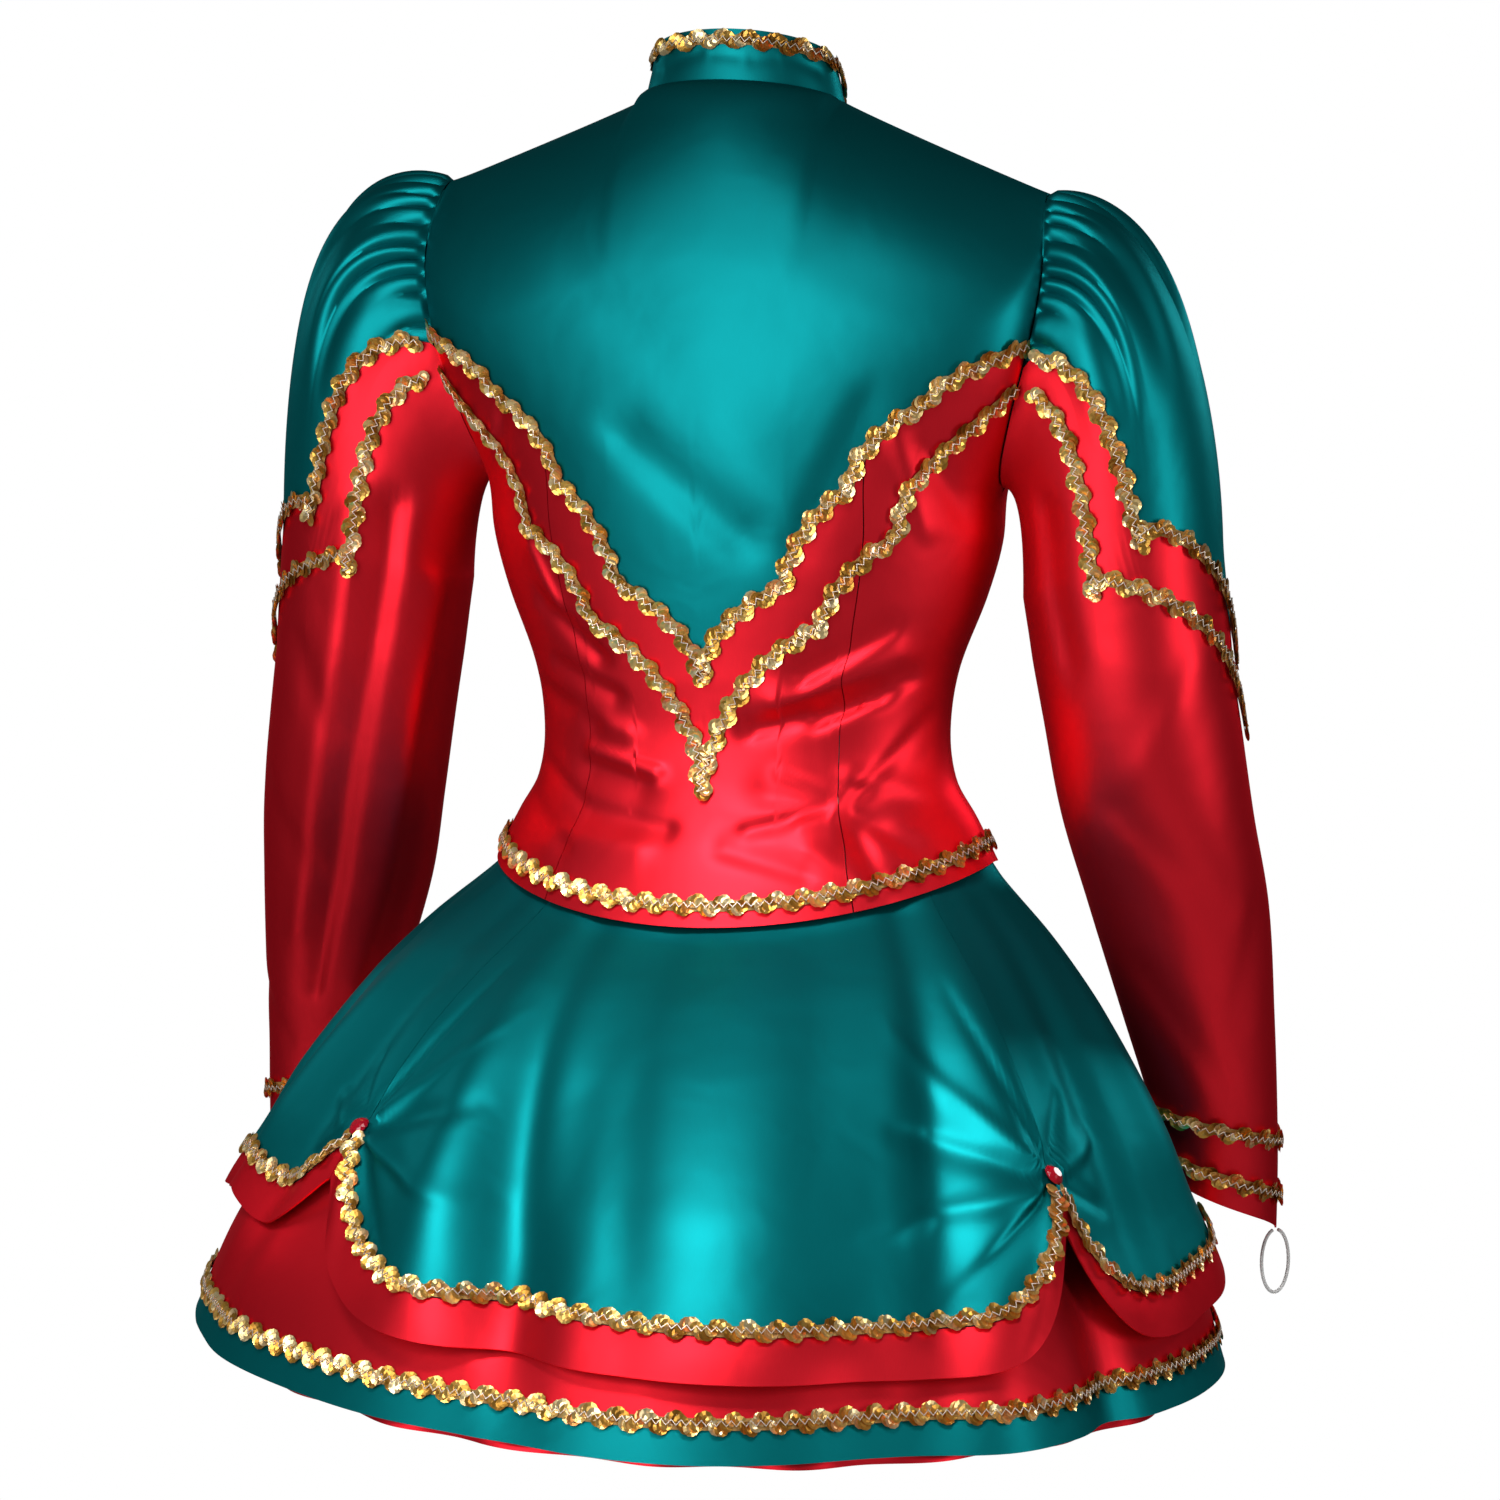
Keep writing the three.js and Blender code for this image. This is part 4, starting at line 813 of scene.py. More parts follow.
def satin(name, colour, metallic=0.92, roughness=0.46, dark=0.5, puckers=0.55, depth=0.0022):
    material, tree, shader = new_material(name)
    grain = node(tree, "ShaderNodeGroup", node_tree=bpy.data.node_groups["satin_thread_grain"])
    preset(grain, {"Pucker depth": puckers})
    tinted(tree, shader, grain.outputs["Mottle"], colour, [c * dark for c in colour])
    bumped(tree, shader, grain.outputs["Height"], 0.6, depth)
    preset(shader, {
        "Metallic": metallic, "Roughness": roughness,
        "Specular Tint": (*(0.4 + 0.6 * c for c in colour), 1), "Specular IOR Level": 0.2,
    })
    return material


def sequin_foil(name, colour):
    """Gold foil with painted highlights and painted shade, picked at random from sequin to sequin."""
    material, tree, shader = new_material(name)
    shade = node(tree, "ShaderNodeAttribute", attribute_name="shade")
    ramp = node(tree, "ShaderNodeValToRGB")
    # Painted shade in browns, the foil's own gold, painted highlights in cream and a painted orange glint.
    glint_and_shade_stops = [
        (0.0, (0.42, 0.19, 0.025)), (0.28, (0.74, 0.4, 0.07)), (0.55, colour), (0.85, (1.0, 0.82, 0.46)),
        (1.0, (0.88, 0.32, 0.06)),
    ]
    while len(ramp.color_ramp.elements) < len(glint_and_shade_stops):
        ramp.color_ramp.elements.new(0.5)
    for element, (at, rgb) in zip(ramp.color_ramp.elements, glint_and_shade_stops):
        element.position = at
        element.color = (*rgb, 1)
    tree.links.new(shade.outputs["Fac"], ramp.inputs[0])
    tree.links.new(ramp.outputs[0], shader.inputs["Base Color"])
    preset(shader, {"Metallic": 0.85, "Roughness": 0.3})
    return material


def plain_weave(name, colour, scale=900.0, roughness=0.8, metallic=0.0, depth=0.0003):
    """A plain woven or twisted textile."""
    material, tree, shader = new_material(name)
    weave = object_noise(tree, scale, 3.0)
    tinted(tree, shader, weave, colour, [c * 0.6 for c in colour])
    bumped(tree, shader, weave, 0.7, depth)
    preset(shader, {"Roughness": roughness, "Metallic": metallic})
    return material


def cut_glass(name):
    """Dark red glass whose shade differs from facet to facet."""
    material, tree, shader = new_material(name)
    tinted(tree, shader, object_noise(tree, 260.0), (0.55, 0.004, 0.02), (0.12, 0.0, 0.004), amount=0.5)
    preset(shader, {"Roughness": 0.06, "Coat Weight": 0.6, "Coat Roughness": 0.03})
    return material


def finish(name):
    """A finish by name, made when it is first asked for."""
    if name in bpy.data.materials:
        return bpy.data.materials[name]
    settings = bpy.context.scene.majorette_uniform
    if "satin_thread_grain" not in bpy.data.node_groups:
        make_thread_grain()
        make_cloth_tint()
    makers = {
        "teal satin": lambda: satin(name, tuple(settings.teal)),
        "red satin": lambda: satin(name, tuple(settings.red)),
        "gold sequins": lambda: sequin_foil(name, tuple(settings.gold)),
        "braid ground": lambda: plain_weave(name, (0.4, 0.22, 0.06), metallic=0.3, roughness=0.6),
        "silver thread": lambda: plain_weave(name, (0.92, 0.8, 0.68), metallic=0.6, roughness=0.35),
        "white petticoat": lambda: plain_weave(name, tuple(settings.white)),
        "white elastic": lambda: plain_weave(name, (0.86, 0.86, 0.85), scale=1400.0, depth=0.0004),
        "red cut glass": lambda: cut_glass(name),
    }
    return makers[name]()


# ---- Sequin braid ----
def build_braid_tree():
    """Sequins on points, a thread on edges and the ground strip on faces, joined into one mesh."""
    tree = bpy.data.node_groups.new("sequin_braid", "GeometryNodeTree")
    face = tree.interface
    face.new_socket(name="Geometry", in_out="INPUT", socket_type="NodeSocketGeometry")
    for label, default in (
        ("Sequin radius", 0.003), ("Cup depth", 0.0009), ("Shingle tilt", 0.4), ("Scatter", 0.12),
        ("Thread radius", 0.0005),
    ):
        socket = face.new_socket(name=label, in_out="INPUT", socket_type="NodeSocketFloat")
        socket.default_value = default
    seed = face.new_socket(name="Seed", in_out="INPUT", socket_type="NodeSocketInt")
    seed.default_value = 7
    for label in ("Sequin finish", "Thread finish", "Ground finish"):
        face.new_socket(name=label, in_out="INPUT", socket_type="NodeSocketMaterial")
    face.new_socket(name="Geometry", in_out="OUTPUT", socket_type="NodeSocketGeometry")
    links = tree.links
    start = tree.nodes.new("NodeGroupInput")
    end = tree.nodes.new("NodeGroupOutput")

    def named(label, kind):
        made = node(tree, "GeometryNodeInputNamedAttribute", data_type=kind)
        preset(made, {"Name": label})
        return made.outputs["Attribute"]

    def where_kind(value):
        made = node(tree, "FunctionNodeCompare", data_type="INT", operation="EQUAL")
        links.new(named("kind", "INT"), made.inputs[2])
        preset(made, {3: value})
        split = node(tree, "GeometryNodeSeparateGeometry", domain="POINT")
        links.new(start.outputs["Geometry"], split.inputs["Geometry"])
        links.new(made.outputs[0], split.inputs["Selection"])
        return split.outputs["Selection"]

    def times(label, factor):
        made = node(tree, "ShaderNodeMath", operation="MULTIPLY")
        preset(made, {1: factor})
        links.new(start.outputs[label], made.inputs[0])
        return made.outputs[0]

    def turn_by(rotation, angles):
        made = node(tree, "FunctionNodeRotateRotation", rotation_space="LOCAL")
        euler = node(tree, "FunctionNodeEulerToRotation")
        links.new(angles, euler.inputs[0])
        links.new(rotation, made.inputs[0])
        links.new(euler.outputs[0], made.inputs[1])
        return made.outputs[0]

    cup = node(tree, "GeometryNodeMeshCone", fill_type="NGON")
    preset(cup, {"Vertices": 10})
    links.new(times("Sequin radius", 0.5), cup.inputs["Radius Top"])
    links.new(start.outputs["Sequin radius"], cup.inputs["Radius Bottom"])
    links.new(start.outputs["Cup depth"], cup.inputs["Depth"])
    opened = node(tree, "GeometryNodeDeleteGeometry", domain="FACE", mode="ONLY_FACE")
    links.new(cup.outputs["Mesh"], opened.inputs["Geometry"])
    links.new(cup.outputs["Bottom"], opened.inputs["Selection"])

    align = node(tree, "FunctionNodeAlignRotationToVector", axis="Z")
    flip = node(tree, "ShaderNodeVectorMath", operation="SCALE")
    preset(flip, {"Scale": -1.0})
    links.new(named("facing", "FLOAT_VECTOR"), flip.inputs[0])
    links.new(flip.outputs[0], align.inputs["Vector"])
    along = node(tree, "FunctionNodeAlignRotationToVector", axis="X", pivot_axis="Z")
    links.new(align.outputs[0], along.inputs["Rotation"])
    links.new(named("along", "FLOAT_VECTOR"), along.inputs["Vector"])
    scatter = node(tree, "FunctionNodeRandomValue", data_type="FLOAT_VECTOR")
    spread_low = node(tree, "ShaderNodeCombineXYZ")
    spread_high = node(tree, "ShaderNodeCombineXYZ")
    minus = times("Scatter", -1.0)
    for axis in (0, 1):
        links.new(minus, spread_low.inputs[axis])
        links.new(start.outputs["Scatter"], spread_high.inputs[axis])
    preset(spread_low, {2: -math.pi})
    preset(spread_high, {2: math.pi})
    links.new(spread_low.outputs[0], scatter.inputs[0])
    links.new(spread_high.outputs[0], scatter.inputs[1])
    links.new(start.outputs["Seed"], scatter.inputs["Seed"])
    tilt = node(tree, "ShaderNodeCombineXYZ")
    links.new(start.outputs["Shingle tilt"], tilt.inputs[1])
    jitter = turn_by(turn_by(along.outputs[0], tilt.outputs[0]), scatter.outputs[0])

    size = node(tree, "FunctionNodeRandomValue", data_type="FLOAT")
    preset(size, {2: 0.88, 3: 1.08})
    links.new(start.outputs["Seed"], size.inputs["Seed"])
    rows = node(tree, "GeometryNodeInstanceOnPoints")
    links.new(where_kind(0), rows.inputs["Points"])
    links.new(opened.outputs[0], rows.inputs["Instance"])
    links.new(jitter, rows.inputs["Rotation"])
    links.new(size.outputs[1], rows.inputs["Scale"])
    # A random value per sequin, stored as shade, that picks its painted highlight or painted shade from the
    # foil's ramp.
    shade = node(tree, "FunctionNodeRandomValue", data_type="FLOAT")
    preset(shade, {2: 0.0, 3: 1.0})
    other = node(tree, "ShaderNodeMath", operation="ADD")
    preset(other, {1: 11.0})
    links.new(start.outputs["Seed"], other.inputs[0])
    links.new(other.outputs[0], shade.inputs["Seed"])
    store = node(tree, "GeometryNodeStoreNamedAttribute", data_type="FLOAT", domain="INSTANCE")
    preset(store, {"Name": "shade"})
    links.new(rows.outputs[0], store.inputs["Geometry"])
    links.new(shade.outputs[1], store.inputs["Value"])
    foil = node(tree, "GeometryNodeSetMaterial")
    whole = node(tree, "GeometryNodeRealizeInstances")
    links.new(store.outputs[0], whole.inputs[0])
    links.new(whole.outputs[0], foil.inputs["Geometry"])
    links.new(start.outputs["Sequin finish"], foil.inputs["Material"])

    line = node(tree, "GeometryNodeMeshToCurve")
    links.new(where_kind(1), line.inputs[0])
    ring = node(tree, "GeometryNodeCurvePrimitiveCircle")
    preset(ring, {"Resolution": 4})
    links.new(start.outputs["Thread radius"], ring.inputs["Radius"])
    tube = node(tree, "GeometryNodeCurveToMesh")
    preset(tube, {"Fill Caps": True})
    links.new(line.outputs[0], tube.inputs["Curve"])
    links.new(ring.outputs[0], tube.inputs["Profile Curve"])
    silver = node(tree, "GeometryNodeSetMaterial")
    links.new(tube.outputs[0], silver.inputs["Geometry"])
    links.new(start.outputs["Thread finish"], silver.inputs["Material"])

    ground = node(tree, "GeometryNodeSetMaterial")
    links.new(where_kind(2), ground.inputs["Geometry"])
    links.new(start.outputs["Ground finish"], ground.inputs["Material"])
    join = node(tree, "GeometryNodeJoinGeometry")
    for part in (foil, silver, ground):
        links.new(part.outputs[0], join.inputs[0])
    links.new(join.outputs[0], end.inputs[0])
    return tree


def resampled(surface, places, spacing):
    """Points, normals and directions at even spacing along places on a surface."""
    places = np.asarray(places, dtype=float)
    fine = np.linspace(0, len(places) - 1, 12 * len(places))
    base = np.arange(len(places))
    a = np.interp(fine, base, places[:, 0])
    b = np.interp(fine, base, places[:, 1])
    points = place(surface, a, b)
    length = np.concatenate([[0], np.cumsum(np.linalg.norm(np.diff(points, axis=0), axis=1))])
    count = max(2, int(round(length[-1] / spacing)))
    at = (np.arange(count) + 0.5) * length[-1] / count
    a, b = np.interp(at, length, a), np.interp(at, length, b)
    points = place(surface, a, b)
    facing = normals(surface, a, b)
    along = np.gradient(points, axis=0)
    along -= facing * np.sum(along * facing, axis=1, keepdims=True)
    along /= np.maximum(np.linalg.norm(along, axis=1, keepdims=True), 1e-12)
    return points, facing, along


def make_braid(name, surface, places, settings, wide=BRAID_WIDE, lift=1.4, phase=0):
    """One length of sequin braid along places on a surface."""
    points, facing, along = resampled(surface, places, BRAID_STEP)
    across = np.cross(facing, along)
    index = np.arange(len(points)) + phase
    side = np.where((index // 3) % 2 == 0, 1.0, -1.0)
    inner = (wide / 2 - settings.sequin / MM) * MM
    swing = np.choose(index % 3, SEQUIN_SWING)
    sequins = points + facing * ((lift + SEQUINS_UP) * MM) + across * (side * inner * swing)[:, None]
    zig = np.where(np.arange(len(points)) % 2 == 0, 1.0, -1.0)
    thread = points + facing * ((lift + THREAD_UP) * MM) + across * (zig * BRAID_ZIG)[:, None]
    rails = GROUND_RAILS
    skip, up, beside = points[::3], facing[::3], across[::3]
    offsets = np.linspace(-1, 1, rails) * (wide / 2 - GROUND_INSET) * MM
    ground = (skip + up * (lift * MM))[:, None, :] + beside[:, None, :] * offsets[None, :, None]
    droop = np.abs(np.linspace(-1, 1, rails)) * BRAID_DROOP
    ground = ground - up[:, None, :] * droop[None, :, None]
    cells = ground.reshape(-1, 3)
    vertices = np.concatenate([sequins, thread, cells])
    first_thread = len(sequins)
    edges = [(first_thread + i, first_thread + i + 1) for i in range(len(thread) - 1)]
    first = first_thread + len(thread)
    faces = []
    for i in range(len(skip) - 1):
        for j in range(rails - 1):
            p = first + i * rails + j
            faces.append((p, p + 1, p + rails + 1, p + rails))
    mesh = bpy.data.meshes.new(name)
    mesh.from_pydata([tuple(v) for v in vertices], edges, faces)
    kinds = np.repeat([0, 1, 2], [len(sequins), len(thread), len(cells)]).astype(np.int32)
    mesh.attributes.new("kind", "INT", "POINT").data.foreach_set("value", kinds)
    for label, values in (("facing", facing), ("along", along)):
        padded = np.zeros((len(vertices), 3), dtype=np.float32)
        padded[: len(values)] = values
        mesh.attributes.new(label, "FLOAT_VECTOR", "POINT").data.foreach_set("vector", padded.ravel())
    carrier = bpy.data.objects.new(name, mesh)
    bpy.context.scene.collection.objects.link(carrier)
    tree = bpy.data.node_groups.get("sequin_braid") or build_braid_tree()
    modifier = carrier.modifiers.new("sequin_braid", "NODES")
    modifier.node_group = tree
    values = {
        "Sequin radius": settings.sequin, "Cup depth": settings.cup, "Shingle tilt": settings.shingle,
        "Thread radius": settings.thread, "Seed": settings.seed + phase,
        "Sequin finish": finish("gold sequins"), "Thread finish": finish("silver thread"),
        "Ground finish": finish("braid ground"),
    }
    for item in tree.interface.items_tree:
        if item.in_out == "INPUT" and item.name in values:
            modifier[item.identifier] = values[item.name]
    evaluated = carrier.evaluated_get(bpy.context.evaluated_depsgraph_get())
    made = bpy.data.meshes.new_from_object(evaluated)
    carrier.modifiers.clear()
    carrier.data = made
    made.name = name
    bpy.data.meshes.remove(mesh)
    return carrier


# ---- Operators ----
class UNIFORM_OT_studio(bpy.types.Operator):
    """Camera, soft lights and a pale floor"""

    bl_idname = "uniform.studio"
    bl_label = "Studio"

    def execute(self, context):
        scene = context.scene
        centre = Vector(VIEW_CENTRE)
        azimuth, elevation = math.radians(CAMERA["azimuth"]), math.radians(CAMERA["elevation"])
        level = math.cos(elevation)
        towards = Vector((math.sin(azimuth) * level, -math.cos(azimuth) * level, math.sin(elevation)))
        lens = bpy.data.cameras.new("camera")
        lens.lens = CAMERA["lens"]
        lens.sensor_width = CAMERA["sensor"]
        lens.shift_x = CAMERA["shift"]
        lens.clip_end = CAMERA["far"]
        camera = bpy.data.objects.new("camera", lens)
        camera.location = centre + towards * CAMERA["distance"]
        camera.rotation_euler = (-towards).to_track_quat("-Z", "Y").to_euler()
        scene.collection.objects.link(camera)
        scene.camera = camera
        right = Vector((0, 0, 1)).cross(towards).normalized()
        up = towards.cross(right)
        for name, (side, high, near), (aim_side, aim_high), (wide, tall), power, beam in LIGHTS:
            data = bpy.data.lights.new(name, "AREA")
            data.shape = "RECTANGLE"
            data.size = wide
            data.size_y = tall
            data.spread = math.radians(beam)
            data.energy = power
            light = bpy.data.objects.new(name, data)
            light.location = centre + right * side + up * high + towards * near
            aim = centre + right * aim_side + up * aim_high
            light.rotation_euler = (aim - light.location).to_track_quat("-Z", "Y").to_euler()
            scene.collection.objects.link(light)
        world = bpy.data.worlds.new("studio")
        world.use_nodes = True
        tree = world.node_tree
        tree.nodes.clear()
        around = node(tree, "ShaderNodeBackground")
        preset(around, {0: (1, 1, 1, 1), 1: WORLD_STRENGTH})
        seen = node(tree, "ShaderNodeBackground")
        preset(seen, {0: (1, 1, 1, 1), 1: 1.0})
        path = node(tree, "ShaderNodeLightPath")
        blend = node(tree, "ShaderNodeMixShader")
        output = node(tree, "ShaderNodeOutputWorld")
        tree.links.new(path.outputs["Is Camera Ray"], blend.inputs[0])
        tree.links.new(around.outputs[0], blend.inputs[1])
        tree.links.new(seen.outputs[0], blend.inputs[2])
        tree.links.new(blend.outputs[0], output.inputs[0])
        scene.world = world
        scene.view_settings.view_transform = "Standard"
        mesh = bpy.data.meshes.new("floor")
        half, low = FLOOR["half"], FLOOR["height"]
        corners = [(-half, -half, low), (half, -half, low), (half, half, low), (-half, half, low)]
        mesh.from_pydata(corners, [], [(0, 1, 2, 3)])
        floor = bpy.data.objects.new("floor", mesh)
        pale, _, shader = new_material("pale floor")
        preset(shader, {"Base Color": (0.85, 0.85, 0.84, 1), "Roughness": 0.9})
        mesh.materials.append(pale)
        scene.collection.objects.link(floor)
        return {"FINISHED"}


class UNIFORM_OT_finger_loops(bpy.types.Operator):
    """Elastic loops at the points of the cuffs"""

    bl_idname = "uniform.finger_loops"
    bl_label = "Finger loops"

    def execute(self, context):
        for name, side in (("left", 1), ("right", -1)):
            tip = tube_point(side, np.float64(SLEEVE["point_at"]), np.float64(2.0))
            start = FINGER_LOOP["open"]
            angle = np.linspace(start, 360 - start, FINGER_LOOP["points"])
            down = FINGER_LOOP["radius"] * FINGER_LOOP["tall"] * (cosd(angle) - cosd(start))
            along = FINGER_LOOP["radius"] * FINGER_LOOP["wide"] * sind(angle)
            z = down - FINGER_LOOP["cord"] / 2 - SEAM
            route = np.stack([0 * angle - side * CLOTH / 2, 0 * angle, z], axis=-1)
            route = leaned(tip + route + np.outer(along, [-side * 0.6, 0.8, 0])) * MM
            radius = FINGER_LOOP["cord"] / 2 * MM
            obj = tube_along(f"finger_loop_{name}_elastic", route, radius, FINGER_LOOP["sides"])
            finish_piece(obj, finish("white elastic"), f"finger_loop_{name}")
        return {"FINISHED"}


def tube_along(name, route, radius, sides):
    """A closed tube along a route."""
    tangent = np.gradient(route, axis=0)
    tangent /= np.linalg.norm(tangent, axis=1, keepdims=True)
    flat = np.cross(tangent, route.mean(axis=0) - route)
    flat /= np.maximum(np.linalg.norm(flat, axis=1, keepdims=True), 1e-12)
    other = np.cross(tangent, flat)
    angle = np.linspace(0, 2 * math.pi, sides, endpoint=False)
    cos, sin = np.cos(angle)[None, :, None], np.sin(angle)[None, :, None]
    rings = route[:, None] + radius * (cos * flat[:, None] + sin * other[:, None])
    faces = []
    for i in range(len(route) - 1):
        for j in range(sides):
            k = (j + 1) % sides
            faces.append((i * sides + j, i * sides + k, (i + 1) * sides + k, (i + 1) * sides + j))
    faces.append(tuple(range(sides))[::-1])
    faces.append(tuple((len(route) - 1) * sides + j for j in range(sides)))
    return new_object(name, rings.reshape(-1, 3), faces)


def fine_columns(low, high, count, corners=()):
    """Columns across a panel, with one at each corner of a scalloped line."""
    columns = np.linspace(low, high, count)
    extra = [v for c in corners for v in (c, -c) if low < v < high]
    # Rounded, so that two columns never fall almost on one another.
    return np.unique(np.round(np.concatenate([columns, extra]), 5))


def shoulder_top(face, u):
    return neck_and_shoulder(face, SHOULDER["x"] * sind(u * 90))[1] - SHOULDER["seam"]


def body_panel(name, face, columns, top, bottom, rows, ease, colour):
    """A panel of the jacket's body, whose columns run down from one line to another."""
    surface = "back" if face > 0 else "front"
    high = level_at(face, columns, top(columns))
    low = level_at(face, columns, bottom(columns))
    sew(name, surface, columns[None, :], rows_between(high, low, even(rows, ease)), colour)


class UNIFORM_OT_jacket_back(bpy.types.Operator):
    """Yoke and three lower panels of the jacket's back"""

    bl_idname = "uniform.jacket_back"
    bl_label = "Jacket back"

    def execute(self, context):
        corners = [u for u, _ in YOKE_BACK]

        def above(u):
            return v_line(YOKE_BACK, u) + SEAM

        def below(u):
            return v_line(YOKE_BACK, u) - SEAM

        def hem(u):
            return jacket_hem(1, u)

        across = fine_columns(-1 + PANEL_GAP, 1 - PANEL_GAP, 141, corners)
        body_panel("back_yoke", 1, across, lambda u: shoulder_top(1, u), above, 84, 1.4, "teal satin")
        centre = fine_columns(-PRINCESS + PANEL_GAP, PRINCESS - PANEL_GAP, 85, corners)
        body_panel("back_centre", 1, centre, below, hem, 84, 1, "red satin")
        for name, side in (("left", 1), ("right", -1)):
            outside = np.sort(side * fine_columns(PRINCESS + PANEL_GAP, 1 - PANEL_GAP, 57, corners))
            body_panel(f"back_side_{name}", 1, outside, below, hem, 90, 1, "red satin")
        return {"FINISHED"}


class UNIFORM_OT_jacket_front(bpy.types.Operator):
    """Yokes and lower panels of the jacket's two fronts"""

    bl_idname = "uniform.jacket_front"
    bl_label = "Jacket front"

    def execute(self, context):
        corners = [u for u, _ in YOKE_FRONT]

        def top(u):
            return shoulder_top(-1, u)

        def above(u):
            return v_line(YOKE_FRONT, u) + SEAM

        def below(u):
            return v_line(YOKE_FRONT, u) - SEAM

        def hem(u):
            return jacket_hem(-1, u)

        for name, side in (("left", 1), ("right", -1)):
            columns = np.sort(side * fine_columns(PANEL_GAP, 1 - PANEL_GAP, 61, corners))
            body_panel(f"front_yoke_{name}", -1, columns, top, above, 60, 1.4, "teal satin")
            body_panel(f"front_{name}", -1, columns, below, hem, 64, 1, "red satin")
        return {"FINISHED"}


class UNIFORM_OT_collar(bpy.types.Operator):
    """Stand collar"""

    bl_idname = "uniform.collar"
    bl_label = "Collar"

    def execute(self, context):
        angles = np.linspace(-179, 179, 181)
        ups = np.linspace(-0.07, 1, 14)
        sew("collar", "collar", angles[None, :], ups[:, None], "teal satin")
        return {"FINISHED"}


class UNIFORM_OT_sleeves(bpy.types.Operator):
    """Gathered sleeve heads and long pointed sleeves"""

    bl_idname = "uniform.sleeves"
    bl_label = "Sleeves"

    def execute(self, context):
        first, last = CAP_LINE[-1][0], CAP_LINE[0][0]
        corners = [at for at, _ in CAP_LINE]
        for name in ("left", "right"):
            cap = np.unique(np.concatenate([np.linspace(first, last, 281), corners]))
            line = round_line(CAP_LINE, cap) - SLEEVE_SEAM
            shares = rows_between(0 * line, line, even(56, 1.35))
            sew(f"sleeve_cap_{name}", name, cap[None, :], shares, "teal satin")
            ring = np.unique(np.concatenate([np.linspace(-180, 176, 90), corners]))
            under = np.where((ring >= first) & (ring <= last), round_line(CAP_LINE, ring) + SLEEVE_SEAM, 0.0)
            middle, end = SLEEVE_BREAK + 0 * ring, SLEEVE_END + 0 * ring
            rows = rows_between(under, middle, even(40))
            lower = rows_between(middle, end, even(74)[1:])
            shares = np.vstack([rows, lower])
            sew(f"sleeve_{name}", name, ring[None, :], shares, "red satin", closed=True)
        return {"FINISHED"}


def skirt_rows(theta, bottom, tucked, hanging):
    """Rows from inside the jacket's waist down to a hem at the height bottom."""
    top = np.full(theta.shape, SKIRT_ROWS["top"])
    upper = rows_between(top, 0 * theta, even(tucked))
    end = drop_at(theta, bottom)
    lower = rows_between(0 * theta, end, even(hanging, SKIRT_ROWS["ease"])[1:])
    return np.vstack([upper, lower])


class UNIFORM_OT_overskirt(bpy.types.Operator):
    """Festooned overskirt panels with their red hem bands"""

    bl_idname = "uniform.overskirt"
    bl_label = "Overskirt"

    def execute(self, context):
        for name, start, stop in PANELS:
            count = 150 if name == "back" else 96
            theta = SKIRT["turn"] + np.linspace(start + 0.045, stop - 0.045, count)
            end = overskirt_hem(theta) + BAND["over"]
            rows = skirt_rows(theta, end, 4, 96)
            sew(f"overskirt_{name}", "over", theta[None, :], rows, "teal satin")
            band = np.stack([drop_at(theta, end - lerp(SEAM, BAND["over"], s)) for s in even(8)])
            sew(f"overskirt_band_{name}", "over", theta[None, :], band, "red satin")
        return {"FINISHED"}


class UNIFORM_OT_underskirts(bpy.types.Operator):
    """Red underskirt with its teal band, and the petticoat with its ruffled binding"""

    bl_idname = "uniform.underskirts"
    bl_label = "Underskirts"

    def execute(self, context):
        theta = np.linspace(0, 360, 300, endpoint=False)
        hem = skirt_hem(theta)
        for name, surface, bottom, count, colour in (
            ("underskirt", "under", hem + BAND["under"], 56, "red satin"),
            ("petticoat", "petti", hem + 3, 30, "white petticoat"),
        ):
            rows = skirt_rows(theta, bottom, 3, count)
            sew(name, surface, theta[None, :], rows, colour, closed=True, cloth="cloth")
        for name, surface, high, low, count, colour, columns, held in (
            ("underskirt_band", "under", BAND["under"] - SEAM, 0, 7, "teal satin", 300, "hung"),
            ("petticoat_binding", "binding", 2.4, -5, 6, "red satin", 480, "gathered"),
        ):
            around = np.linspace(0, 360, columns, endpoint=False)
            rows = np.stack([drop_at(around, skirt_hem(around) + lerp(high, low, s)) for s in even(count)])
            sew(name, surface, around[None, :], rows, colour, closed=True)
        return {"FINISHED"}


class UNIFORM_OT_waistband(bpy.types.Operator):
    """Waistband that carries the skirts inside the jacket"""

    bl_idname = "uniform.waistband"
    bl_label = "Waistband"

    def execute(self, context):
        angles = np.linspace(-180, 180, 120, endpoint=False)
        ups = np.linspace(WAISTBAND["low"], WAISTBAND["high"], 7)
        sew(
            "waistband", "waist", angles[None, :], ups[:, None], "teal satin", closed=True,
            thick=WAISTBAND["thick"],
        )
        return {"FINISHED"}


